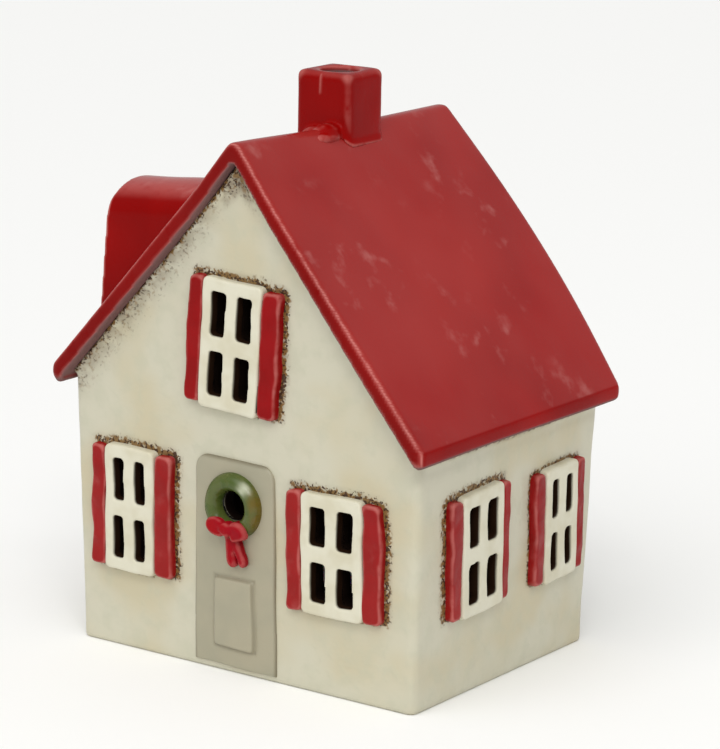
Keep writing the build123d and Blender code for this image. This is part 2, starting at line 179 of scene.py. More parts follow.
class ClayPiece:
    """A mesh copied from CAD nodes that is softened and pushed about as wet clay is."""

    INWARD = 0.5
    OUTWARD = -0.53

    def __init__(self, name: str, nodes: list[str], voxel: float, lumps: list[Lump] | None = None) -> None:
        """Join copies of the nodes and any pellets into one closed skin.

        Args:
            name: Name of the new piece.
            nodes: CAD nodes that it stands for.
            voxel: Spacing of the skin's points, in millimetres.
            lumps: Pellets pressed on to the nodes.
        """
        self.nodes = nodes
        self.voxel = voxel * MM
        joined = bmesh.new()
        for node in nodes:
            joined.from_mesh(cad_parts[node].data)
        for lump in lumps or []:
            bmesh.ops.create_icosphere(joined, subdivisions=2, radius=1, matrix=lump.place)
        self.object = new_object(name, bpy.data.meshes.new(name))
        joined.to_mesh(self.object.data)
        joined.free()
        self.skin()

    def skin(self) -> None:
        """Replace the joined solids by one even skin of points."""
        modifier = self.object.modifiers.new("skin", "REMESH")
        modifier.mode = "VOXEL"
        modifier.voxel_size = self.voxel
        graph = bpy.context.evaluated_depsgraph_get()
        mesh = bpy.data.meshes.new_from_object(self.object.evaluated_get(graph))
        self.object.modifiers.clear()
        mesh.materials.clear()
        self.object.data = mesh

    @property
    def points(self) -> np.ndarray:
        """Places of all the points, as rows."""
        flat = np.empty(len(self.object.data.vertices) * 3)
        self.object.data.vertices.foreach_get("co", flat)
        return flat.reshape(-1, 3)

    @points.setter
    def points(self, places: np.ndarray) -> None:
        """Move every point to its row of places."""
        self.object.data.vertices.foreach_set("co", places.ravel())
        self.object.data.update()

    @property
    def normals(self) -> np.ndarray:
        """Outward directions at all the points, as rows."""
        flat = np.empty(len(self.object.data.vertices) * 3)
        self.object.data.vertex_normals.foreach_get("vector", flat)
        return flat.reshape(-1, 3)

    def neighbour_means(self, values: np.ndarray) -> np.ndarray:
        """Mean of each column of values over the points that edges join to each point.

        Args:
            values: One row per point.

        Returns:
            Rows of means.
        """
        flat = np.empty(len(self.object.data.edges) * 2, dtype=np.int64)
        self.object.data.edges.foreach_get("vertices", flat)
        one, other = flat.reshape(-1, 2).T
        count = len(values)
        number = np.bincount(one, minlength=count) + np.bincount(other, minlength=count)
        columns = [
            np.bincount(one, weights=column[other], minlength=count)
            + np.bincount(other, weights=column[one], minlength=count)
            for column in values.T
        ]
        return np.stack(columns, axis=1) / np.maximum(number, 1)[:, None]

    def sponge(self, rounds: int) -> None:
        """Soften the skin without shrinking it: a pass inwards is followed by one outwards.

        Args:
            rounds: How often the sponge passes.
        """
        places = self.points
        for _ in range(rounds):
            for share in (self.INWARD, self.OUTWARD):
                places = places + share * (self.neighbour_means(places) - places)
        self.points = places

    def melt(self, rounds: int) -> None:
        """Round the edges off, as thick glaze does.

        Args:
            rounds: How far the rounding goes.
        """
        places = self.points
        for _ in range(rounds):
            places = places + self.INWARD * (self.neighbour_means(places) - places)
        self.points = places

    def swell(self, size: float, reach: float, seed: int, weight: np.ndarray | float = 1.0) -> None:
        """Push the surface in and out in broad swells.

        Args:
            size: Width of a swell, in millimetres.
            reach: Height of the highest, in millimetres.
            seed: Which noise field to use.
            weight: Share of the reach for each point.
        """
        self.puff(reach * weight * noise_at(self.points, size, seed))

    def puff(self, reach: np.ndarray | float) -> None:
        """Move every point outwards.

        Args:
            reach: How far, in millimetres, for all the points or for each.
        """
        push = np.broadcast_to(reach, len(self.object.data.vertices)) * MM
        self.points = self.points + self.normals * push[:, None]

    def waver(self, size: float, reach: float, seed: int, wall: Wall) -> None:
        """Shift points along a wall so that straight cuts look cut by hand.

        Args:
            size: Length of a wave, in millimetres.
            reach: Largest shift, in millimetres.
            seed: Which noise field to use.
            wall: Wall that the piece lies on.
        """
        places = self.points
        for turn, axis in enumerate((wall.across, wall.upward)):
            shift = reach * MM * noise_at(places, size, seed + turn)
            places = places + shift[:, None] * np.array(axis)
        self.points = places

    def narrow(self, wall: Wall, share: float) -> None:
        """Narrow the piece along a wall, towards its left edge.

        Args:
            wall: Wall that the piece lies on.
            share: Width that is left, as a share of the width before.
        """
        across = np.array(wall.across)
        place = self.points @ across
        self.points = self.points + across * ((share - 1) * (place - place.min()))[:, None]

    def height_over(self, wall: Wall) -> np.ndarray:
        """Height of each point over the back of the piece, out of the wall."""
        height = self.points @ np.array(wall.normal)
        return height - height.min()

    def sink_back(self, wall: Wall, depth: float) -> None:
        """Sink the back of the piece into the wall that carries it.

        Args:
            wall: Wall that the piece lies on.
            depth: How far its back goes in, in millimetres.
        """
        height = self.height_over(wall)
        share = 1 - ease(height, 0, height.max())
        self.points = self.points - np.array(wall.normal) * (depth * MM * share)[:, None]

    def edge_share(self, rounds: int, start: float, full: float) -> np.ndarray:
        """How strongly each point stands on an outer edge.

        Args:
            rounds: How many times the reading is spread over the neighbours.
            start: Height over the neighbours where an edge begins, as a share of the spacing.
            full: Height over the neighbours of a full edge.

        Returns:
            Values from 0 to 1.
        """
        places = self.points
        height = np.sum((places - self.neighbour_means(places)) * self.normals, axis=1) / self.voxel
        for _ in range(rounds):
            height = (height + self.neighbour_means(height[:, None])[:, 0]) / 2
        return ease(height, start, full)

    def paint(self, name: str, values: np.ndarray | float) -> None:
        """Keep a value from 0 to 1 for each point that a glaze can read.

        Args:
            name: Name of the values.
            values: One value for all the points or one for each.
        """
        attribute = self.object.data.attributes.new(name, "FLOAT", "POINT")
        shares = np.broadcast_to(np.clip(values, 0, 1), len(self.object.data.vertices))
        attribute.data.foreach_set("value", shares.astype(np.float32))

    def settle(self, slot: str, material: bpy.types.Material) -> None:
        """Dress the piece and put it in the place of its nodes on the house.

        Args:
            slot: Not used.
            material: Its finish.
        """
        settle_mesh(self.object, "house", material, self.nodes)


def settle_mesh(
    piece: bpy.types.Object,
    body: str,
    material: bpy.types.Material,
    nodes: list[str],
) -> None:
    """Dress a mesh, let it ride on a body and stand for CAD nodes.

    Args:
        piece: The mesh object, already in place.
        body: Body that it rides on.
        material: Its finish.
        nodes: CAD nodes that it stands for.
    """
    piece.data.materials.clear()
    piece.data.materials.append(material)
    piece.data.polygons.foreach_set("use_smooth", [True] * len(piece.data.polygons))
    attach(piece, body)
    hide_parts(*nodes)
    log.info("%s: %d faces", piece.name, len(piece.data.polygons))


class Finish:
    """A material that is built up from a base colour by coats."""

    def __init__(self, name: str, base: str, **values: float) -> None:
        """Start a material with a shader of one colour.

        Args:
            name: Name of the material.
            base: Hex code of the lowest colour.
            values: Shader inputs that are the same all over; underscores stand for spaces.
        """
        self.material = bpy.data.materials.new(name)
        self.material.use_nodes = True
        self.tree = self.material.node_tree
        self.tree.nodes.clear()
        inputs = {key.replace("_", " "): value for key, value in values.items()}
        self.shader = add_node(self.tree, "ShaderNodeBsdfPrincipled", inputs)
        add_node(self.tree, "ShaderNodeOutputMaterial", {"Surface": self.shader.outputs[0]})
        self.places = add_node(self.tree, "ShaderNodeTexCoord").outputs["Object"]
        self.colour: Socket | tuple[float, float, float, float] = linear(base)

    def cloud(
        self, size: float, low: float, high: float, detail: float = 2.0, twist: float = 0.0
    ) -> Socket:
        """Soft patches of a pattern.

        Args:
            size: Width of a patch, in millimetres.
            low: Noise value that reads 0.
            high: Noise value that reads 1.
            detail: Number of finer layers.
            twist: How far the pattern is distorted.

        Returns:
            Socket with values from 0 to 1.
        """
        grain = add_node(
            self.tree,
            "ShaderNodeTexNoise",
            {"Vector": self.places, "Scale": per_size(size), "Detail": detail, "Distortion": twist},
        )
        inputs = {"Value": grain.outputs[0], "From Min": low, "From Max": high}
        return add_node(self.tree, "ShaderNodeMapRange", inputs, interpolation_type="SMOOTHSTEP").outputs[0]

    def gather(self, painted: str, size: float, pull: float, low: float, high: float) -> Socket:
        """Flecks of a pattern that crowd together where painted values are high.

        Args:
            painted: Name of the painted values.
            size: Width of a fleck, in millimetres.
            pull: How far a painted value of 1 raises the pattern.
            low: Raised value that reads 0.
            high: Raised value that reads 1.

        Returns:
            Socket with values from 0 to 1.
        """
        values = add_node(self.tree, "ShaderNodeAttribute", attribute_name=painted).outputs["Fac"]
        grain = self.cloud(size, 0.0, 1.0, 1.0, 0.3)
        inputs = {0: values, 1: pull, 2: grain}
        raised = add_node(self.tree, "ShaderNodeMath", inputs, operation="MULTIPLY_ADD")
        inputs = {"Value": raised.outputs[0], "From Min": low, "From Max": high}
        return add_node(self.tree, "ShaderNodeMapRange", inputs, interpolation_type="SMOOTHSTEP").outputs[0]

    def product(self, shares: tuple[Share, ...]) -> Share:
        """Multiply shares.

        Args:
            shares: Each a pattern's socket, a number or the name of painted values.

        Returns:
            Socket with the product.
        """
        total: Share = 1.0
        for share in shares:
            if isinstance(share, str):
                share = add_node(self.tree, "ShaderNodeAttribute", attribute_name=share).outputs["Fac"]
            inputs = {0: total, 1: share}
            total = add_node(self.tree, "ShaderNodeMath", inputs, operation="MULTIPLY").outputs[0]
        return total

    def coat(self, code: str, *shares: Share) -> None:
        """Lay a colour over what is there.

        Args:
            code: Hex code of the colour.
            shares: What its cover is the product of.
        """
        inputs = {0: self.product(shares), 6: self.colour, 7: linear(code)}
        self.colour = add_node(self.tree, "ShaderNodeMix", inputs, data_type="RGBA").outputs[2]

    def grade(self, name: str, start: float, end: float, *shares: Share) -> None:
        """Let an input of the shader change over the surface.

        Args:
            name: The shader's name for the input.
            start: Its value where the product of the shares is 0.
            end: Its value where the product is 1.
            shares: What its change follows.
        """
        inputs = {"Value": self.product(shares), "To Min": start, "To Max": end}
        spread = add_node(self.tree, "ShaderNodeMapRange", inputs)
        self.tree.links.new(spread.outputs[0], self.shader.inputs[name])

    def wear(self, bumps: list[tuple[Socket, float]]) -> bpy.types.Material:
        """Link the colour and the surface's bumps to the shader.

        Args:
            bumps: Pairs of a height pattern and its height in millimetres.

        Returns:
            The finished material.
        """
        self.tree.links.new(self.colour, self.shader.inputs["Base Color"])
        under: dict[str | int, object] = {}
        for height, reach in bumps:
            inputs = {"Height": height, "Distance": reach * MM, **under}
            under = {"Normal": add_node(self.tree, "ShaderNodeBump", inputs).outputs[0]}
        if under:
            self.tree.links.new(under["Normal"], self.shader.inputs["Normal"])
        return self.material


@dataclass(frozen=True)
class CreamGlaze:
    """Satin cream glaze over earthenware, with iron oxide brushed into the joints and wiped off."""

    cream: str = "C8C4AF"
    warm: str = "C4BB9E"
    cool: str = "BBBAA3"
    gold: str = "7F6136"
    umber: str = "452C17"
    # Grey-brown: smeared oxide round the windows, painted shade under the roof.
    smudge_and_shade: str = "867864"
    # Near black: bare clay darkened as painted shade of the dark inside.
    bare: str = "1A110C"
    pool_size: float = 26.0
    mottle_size: float = 5.0
    smudge_and_shade_size: float = 4.0
    wash_size: float = 1.3
    speck_size: float = 0.8

    def make(self) -> bpy.types.Material:
        """Build the glaze: warm pools, gold and umber flecks of oxide, bare clay inside that is painted
        near black as shade.
        """
        finish = Finish("cream_glazed_earthenware", self.cream, IOR=1.5)
        finish.coat(self.warm, finish.cloud(self.pool_size, 0.42, 0.66))
        mottle = finish.cloud(self.mottle_size, 0.40, 0.75)
        finish.coat(self.cool, mottle, 0.45)
        # Grey-brown smear round the windows and painted shade under the roof.
        finish.coat(self.smudge_and_shade, "smudge_and_shade", finish.cloud(self.smudge_and_shade_size, 0.25, 0.65))
        finish.coat(self.gold, finish.gather("oxide", self.wash_size, 0.60, 0.70, 0.95), "oxide", 2.2)
        speck = finish.product((finish.gather("oxide", self.speck_size, 0.26, 0.72, 0.84), "oxide", 2.2))
        finish.coat(self.umber, speck)
        # Bare clay inside, on the cut sides of the holes and behind the panes, painted near black as shade.
        finish.coat(self.bare, "bare")
        finish.grade("Roughness", 0.36, 0.85, "bare")
        finish.grade("Specular IOR Level", 0.40, 0.02, "bare")
        return finish.wear([(mottle, 0.12), (speck, 0.25)])


@dataclass(frozen=True)
class RedGlaze:
    """Glossy iron-red glaze, whitish on open slopes from cloudy glaze and painted sky reflection, that
    breaks to pink where it runs thin over edges, with painted highlights on some edges and painted shade on
    faces turned to the front and back.
    """

    name: str = "red_glazed_earthenware"
    red: str = "940806"
    deep: str = "820403"
    # Darker red: painted shade on faces turned to the front and back.
    painted_shade: str = "640302"
    # Whitish red: cloudy glaze and painted sky reflection.
    milky_reflection: str = "9E2925"
    # Pink of thin glaze on edges, also used for painted highlights.
    thin: str = "DE9088"
    fleck: str = "CF8E88"
    bare: str = "7A5A58"
    fleck_share: float = 0.4
    patch_size: float = 44.0
    fleck_size: float = 7.0
    cluster_size: float = 34.0
    flow_size: float = 34.0
    break_size: float = 2.4
    gloss: float = 0.06
    veil_gloss: float = 0.25

    def make(self) -> bpy.types.Material:
        """Build the glaze: deep red, a whitish film of cloudy glaze and painted sky reflection with soft
        flecks, painted shade on faces turned to the front and back, pink thin glaze and painted highlights
        on edges, bare clay underneath.
        """
        finish = Finish(self.name, self.red, IOR=1.5)
        flow = finish.cloud(self.flow_size, 0.35, 0.68)
        finish.coat(self.deep, flow)
        # Whitish red where painted: painted sky reflection and cloudy glaze.
        finish.coat(self.milky_reflection, "veil_and_reflection", finish.cloud(self.patch_size, 0.15, 0.75))
        cluster = finish.cloud(self.cluster_size, 0.45, 0.60)
        fleck = finish.cloud(self.fleck_size, 0.55, 0.85, 4.0)
        finish.coat(self.fleck, "veil_and_reflection", cluster, fleck, self.fleck_share)
        # Painted shade on faces turned to the front and back.
        finish.coat(self.painted_shade, "pool")
        broken = finish.cloud(self.break_size, 0.10, 0.55, 3.0)
        # Pink on edges: thin glaze, plus painted highlights along the roof's arrises, the chimney's front
        # and the dormer's top.
        finish.coat(self.thin, "edge", broken)
        finish.coat(self.bare, "under")
        finish.grade("Roughness", 0.22, 0.80, "under")
        finish.grade("Specular IOR Level", self.gloss, self.veil_gloss, "veil_and_reflection")
        return finish.wear([(flow, 0.25), (broken, 0.03)])


@dataclass(frozen=True)
class WhiteGlaze:
    """Warm white satin glaze of the window frames, with oxide and painted shade on the cut sides of the
    panes.
    """

    white: str = "D7D3BE"
    thick: str = "CDC7AE"
    # Dark brown: oxide, and painted shade of the dark inside, on the cut sides of the panes.
    oxide: str = "2A1A10"
    patch_size: float = 7.0

    def make(self) -> bpy.types.Material:
        """Build the glaze: nearly even white, dark brown oxide and painted shade on the cut sides of the
        panes.
        """
        finish = Finish("white_glazed_earthenware", self.white, IOR=1.5)
        patch = finish.cloud(self.patch_size, 0.35, 0.70)
        finish.coat(self.thick, patch)
        # Cut sides of the panes: oxide and painted shade of the dark inside.
        finish.coat(self.oxide, "oxide")
        finish.grade("Roughness", 0.34, 0.80, "oxide")
        finish.grade("Specular IOR Level", 0.40, 0.02, "oxide")
        return finish.wear([(patch, 0.10)])


@dataclass(frozen=True)
class DoorGlaze:
    """Grey-beige satin glaze of the door, with painted shade in the groove round its panel and along its
    rim.
    """

    grey: str = "9F9A84"
    warm: str = "A69F88"
    # Painted shade of the groove and the rim.
    painted_shade: str = "6E6752"
    # Near black: painted shade in the opening through the door behind the wreath.
    hole_shade: str = "0D0907"
    patch_size: float = 14.0
    grain_size: float = 3.5

    def make(self) -> bpy.types.Material:
        """Build the glaze: soft grey patches, painted shade in the groove and along the rim, and near-black
        painted shade in the wreath's opening.
        """
        finish = Finish("grey_glazed_earthenware", self.grey, IOR=1.5, Specular_IOR_Level=0.4)
        patch = finish.cloud(self.patch_size, 0.38, 0.66)
        finish.coat(self.warm, patch)
        # Painted shade in the groove round the panel and along the door's rim.
        finish.coat(self.painted_shade, "groove_and_rim_shade")
        # Near-black painted shade in the wreath's opening.
        finish.coat(self.hole_shade, "hole_shade")
        finish.grade("Roughness", 0.34, 0.50, patch)
        return finish.wear([(finish.cloud(self.grain_size, 0.0, 1.0), 0.12)])


@dataclass(frozen=True)
class WreathGlaze:
    """Brushed green glaze of the wreath, brown where it is thin on one side, with a pale painted highlight
    at its crest.
    """

    green: str = "525C2A"
    leaf: str = "41531A"
    brown: str = "65561C"
    # Pale painted highlight.
    pale: str = "D5D8BE"
    stroke_size: float = 3.0
    patch_size: float = 5.0

    def make(self) -> bpy.types.Material:
        """Build the glaze: soft green strokes, a brown side and a pale painted highlight."""
        finish = Finish("green_glazed_earthenware", self.green, IOR=1.5, Specular_IOR_Level=0.35)
        stroke = finish.cloud(self.stroke_size, 0.40, 0.68, 1.0)
        finish.coat(self.leaf, stroke, 0.8)
        finish.coat(self.brown, "side", finish.cloud(self.patch_size, 0.30, 0.60))
        # Painted highlight at the crest.
        finish.coat(self.pale, "crest")
        finish.grade("Roughness", 0.20, 0.35, stroke)
        return finish.wear([(stroke, 0.10)])


@dataclass(frozen=True)
class PressedAluminium:
    """Thin pressed aluminium of the tealight's cup: bright and satin, with soft dents."""

    bright: str = "DADBDC"
    dull: str = "CCCED0"
    draw_size: float = 0.9
    dent_size: float = 6.0

    def make(self) -> bpy.types.Material:
        """Build the metal: satin flecks from drawing and faint dents from handling."""
        finish = Finish("pressed_aluminium", self.bright, Metallic=1.0)
        streak = finish.cloud(self.draw_size, 0.30, 0.70, 3.0)
        finish.coat(self.dull, streak)
        finish.grade("Roughness", 0.24, 0.32, streak)
        return finish.wear([(finish.cloud(self.dent_size, 0.0, 1.0, 1.0), 0.12)])


@dataclass(frozen=True)
class ParaffinWax:
    """Poured paraffin wax: milky, softly lit through, with a faint frost."""

    milk: str = "EFEDE4"
    frost: str = "F7F6F1"
    frost_size: float = 4.0
    grain_size: float = 1.2
    scatter: float = 2.5

    def make(self) -> bpy.types.Material:
        """Build the wax: light goes a little way in and the cooled surface is slightly grained."""
        depth = {"Subsurface_Weight": 0.6, "Subsurface_Scale": self.scatter * MM}
        finish = Finish("paraffin_wax", self.milk, IOR=1.43, **depth)
        frost = finish.cloud(self.frost_size, 0.40, 0.70, 3.0)
        finish.coat(self.frost, frost)
        finish.grade("Roughness", 0.38, 0.60, frost)
        return finish.wear([(finish.cloud(self.grain_size, 0.0, 1.0), 0.05)])


@dataclass(frozen=True)
class WaxedCotton:
    """Braided cotton of the wick, stiff with wax."""

    cotton: str = "E6E0D0"
    shade: str = "B9AF99"
    strand_size: float = 0.5

    def make(self) -> bpy.types.Material:
        """Build the cotton: pale strands with shadow between them."""
        finish = Finish("waxed_cotton", self.cotton, IOR=1.45)
        strand = finish.cloud(self.strand_size, 0.35, 0.65)
        finish.coat(self.shade, strand)
        finish.grade("Roughness", 0.65, 0.85, strand)
        return finish.wear([(strand, 0.08)])


@dataclass(frozen=True)
class TinPlate:
    """Tin-plated steel of the disc that holds the wick upright."""

    tin: str = "B9B7B2"
    dull: str = "98958F"
    spangle_size: float = 2.0

    def make(self) -> bpy.types.Material:
        """Build the metal: soft grey with faint spangles."""
        finish = Finish("tin_plated_steel", self.tin, Metallic=1.0)
        spangle = finish.cloud(self.spangle_size, 0.40, 0.60)
        finish.coat(self.dull, spangle)
        finish.grade("Roughness", 0.30, 0.45, spangle)
        return finish.wear([])


@dataclass(frozen=True)
class Finishes:
    """Every finish of the house, made once and shared."""

    cream: bpy.types.Material
    roof: bpy.types.Material
    shutter: bpy.types.Material
    bow: bpy.types.Material
    white: bpy.types.Material
    door: bpy.types.Material
    wreath: bpy.types.Material
    aluminium: bpy.types.Material
    wax: bpy.types.Material
    cotton: bpy.types.Material
    tin: bpy.types.Material

    @classmethod
    def make(cls) -> "Finishes":
        """Make the materials."""
        shutter = RedGlaze("shutter_red_glazed_earthenware", "900C10", "840A0C", flow_size=9.0)
        bow = RedGlaze("bow_red_glazed_earthenware", "9A0E15", "92101D", flow_size=9.0)
        return cls(
            cream=CreamGlaze().make(),
            roof=RedGlaze().make(),
            shutter=shutter.make(),
            bow=bow.make(),
            white=WhiteGlaze().make(),
            door=DoorGlaze().make(),
            wreath=WreathGlaze().make(),
            aluminium=PressedAluminium().make(),
            wax=ParaffinWax().make(),
            cotton=WaxedCotton().make(),
            tin=TinPlate().make(),
        )


@dataclass(frozen=True)
class StainReach:
    """How far oxide spreads on the wall from each side of a window, in millimetres."""

    above: float = 2.8
    below: float = 0.8
    left: float = 1.3
    right: float = 2.8


@dataclass
class WallStain:
    """Oxide in the joint round a window, which the wiping left on the wall."""

    feet: np.ndarray
    opening: np.ndarray
    wall: Wall
    reach: StainReach

    def behind_panes(self, points: np.ndarray) -> np.ndarray:
        """Tell which points of the wall lie behind the frame's panes.

        Args:
            points: Places in metres.

        Returns:
            True or False for each point.
        """
        axes = np.array([self.wall.across, self.wall.upward, self.wall.normal]).T
        places, corners = points @ axes, self.opening @ axes
        return np.all((places > corners.min(axis=0)) & (places < corners.max(axis=0)), axis=1)

    def reach_towards(self, step: Vector) -> float:
        """Reach of the stain, in metres, in the direction of a step away from the window."""
        across, upward = step.dot(self.wall.across), step.dot(self.wall.upward)
        if abs(upward) > abs(across):
            return (self.reach.above if upward > 0 else self.reach.below) * MM
        return (self.reach.right if across > 0 else self.reach.left) * MM

    def share_at(self, points: np.ndarray) -> np.ndarray:
        """Strength of the stain at points of the wall.

        Args:
            points: Places in metres.

        Returns:
            Shares from 0 to 1.
        """
        widest = max(self.reach.above, self.reach.left, self.reach.right) * MM
        tree = kdtree.KDTree(len(self.feet))
        for index, foot in enumerate(self.feet):
            tree.insert(foot, index)
        tree.balance()
        low, high = self.feet.min(axis=0) - widest, self.feet.max(axis=0) + widest
        shares = np.zeros(len(points))
        for index in np.flatnonzero(np.all((points > low) & (points < high), axis=1)):
            place = Vector(points[index])
            foot, _, gap = tree.find(place)
            shares[index] = max(0.0, 1 - gap / self.reach_towards(place - foot))
        return shares


@dataclass
class ShutteredWindow:
    """A window frame with its two shutters, softened and cut by hand; sizes in millimetres."""

    name: str
    wall: Wall
    seed: int
    stain: StainReach = StainReach()
    shutters: bool = True
    frame_voxel: float = 0.35
    shutter_voxel: float = 0.35
    cut_wave: float = 8.0
    frame_cut_reach: float = 0.4
    shutter_cut_reach: float = 0.7
    lump_size: float = 4.0
    lump_reach: float = 0.16
    sink: float = 0.9
    rim_width: float = 1.7
    jamb_depth: float = 0.45
    sponge_rounds: int = 2
    melt_rounds: int = 2
    edge_heights: tuple[float, float] = (0.03, 0.11)
    edge_strength: float = 0.35
    # Share of whitish red on the shutters: painted reflection and cloudy glaze.
    veil_and_reflection_share: float = 0.45
    foot_share: float = 0.6
    right_shutter_share: float = 1.0

    def build(self, finishes: Finishes) -> WallStain:
        """Make the frame and the shutters.

        Args:
            finishes: Materials of the house.

        Returns:
            The stain that they leave on the wall.
        """
        panes = self.soften(f"{self.name}_frame", self.frame_voxel, self.frame_cut_reach)
        opening = panes.points[self.darken_pane_sides(panes)]
        feet = [self.foot_points(panes)]
        panes.settle("frame_glaze", finishes.white)
        for side in ("left", "right") if self.shutters else ():
            strip = self.soften(f"{self.name}_shutter_{side}", self.shutter_voxel, self.shutter_cut_reach)
            if side == "right":
                strip.narrow(self.wall, self.right_shutter_share)
            strip.melt(self.melt_rounds)
            strip.swell(self.lump_size, self.lump_reach, self.seed + len(side))
            strip.paint("edge", self.edge_strength * strip.edge_share(2, *self.edge_heights))
            # Whitish red all over the shutter: painted reflection and cloudy glaze.
            strip.paint("veil_and_reflection", self.veil_and_reflection_share)
            feet.append(self.foot_points(strip))
            strip.settle("shutter_glaze", finishes.shutter)
        return WallStain(np.concatenate(feet), opening, self.wall, self.stain)

    def soften(self, node: str, voxel: float, cut_reach: float) -> ClayPiece:
        """Skin and soften one node, with its back sunk into the wall.

        Args:
            node: CAD node to stand for.
            voxel: Spacing of its points.
            cut_reach: How far its cuts wander.

        Returns:
            The softened piece.
        """
        piece = ClayPiece(f"clay_{node}", [node], voxel)
        piece.sponge(self.sponge_rounds)
        piece.waver(self.cut_wave, cut_reach, self.seed + len(node), self.wall)
        piece.sink_back(self.wall, self.sink)
        return piece

    def foot_points(self, piece: ClayPiece) -> np.ndarray:
        """Points of a piece that lie near the wall."""
        height = piece.height_over(self.wall)
        return piece.points[height < self.foot_share * height.max()]

    def darken_pane_sides(self, piece: ClayPiece) -> np.ndarray:
        """Mark the cut sides of the panes, which hold the oxide and a dark painted shade.

        Args:
            piece: The frame.

        Returns:
            True for the points inside the frame's rim.
        """
        height = piece.height_over(self.wall)
        inside = np.ones(len(height), dtype=bool)
        for axis in (self.wall.across, self.wall.upward):
            along = piece.points @ np.array(axis)
            rim = self.rim_width * MM
            inside &= (along > along.min() + rim) & (along < along.max() - rim)
        below_face = ease(height.max() - height, self.jamb_depth / 2 * MM, 2 * self.jamb_depth * MM)
        piece.paint("oxide", below_face * inside)
        return inside


@dataclass
class SlopeBow:
    """Outward bow of the right slope, which grows from the front verge to the rear one; in millimetres."""

    reach: float = 2.9
    start: float = -25.0
    wall_fade: float = 22.0

    def lift(self, points: np.ndarray) -> np.ndarray:
        """Shift of points on the roof.

        Args:
            points: Places in metres.

        Returns:
            Rows of shifts in metres.
        """
        low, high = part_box("right_roof_slab")
        along = np.clip(points[:, 0] / high.x, 0, 1)
        rearward = ease(points[:, 1], self.start * MM, high.y)
        slope = Vector((high.z - low.z, 0, high.x - low.x)).normalized()
        return np.outer(self.reach * MM * np.sin(math.pi * along) * rearward, np.array(slope))

    def lift_walls(self, points: np.ndarray) -> np.ndarray:
        """Shift of points on the walls, which dies away below the roof.

        Args:
            points: Places in metres.

        Returns:
            Rows of shifts in metres.
        """
        low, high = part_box("right_roof_slab")
        top = high.z - (high.z - low.z) * np.abs(points[:, 0]) / high.x
        share = ease(top - points[:, 2], self.wall_fade * MM, self.wall_fade / 3 * MM)
        return self.lift(points) * share[:, None]


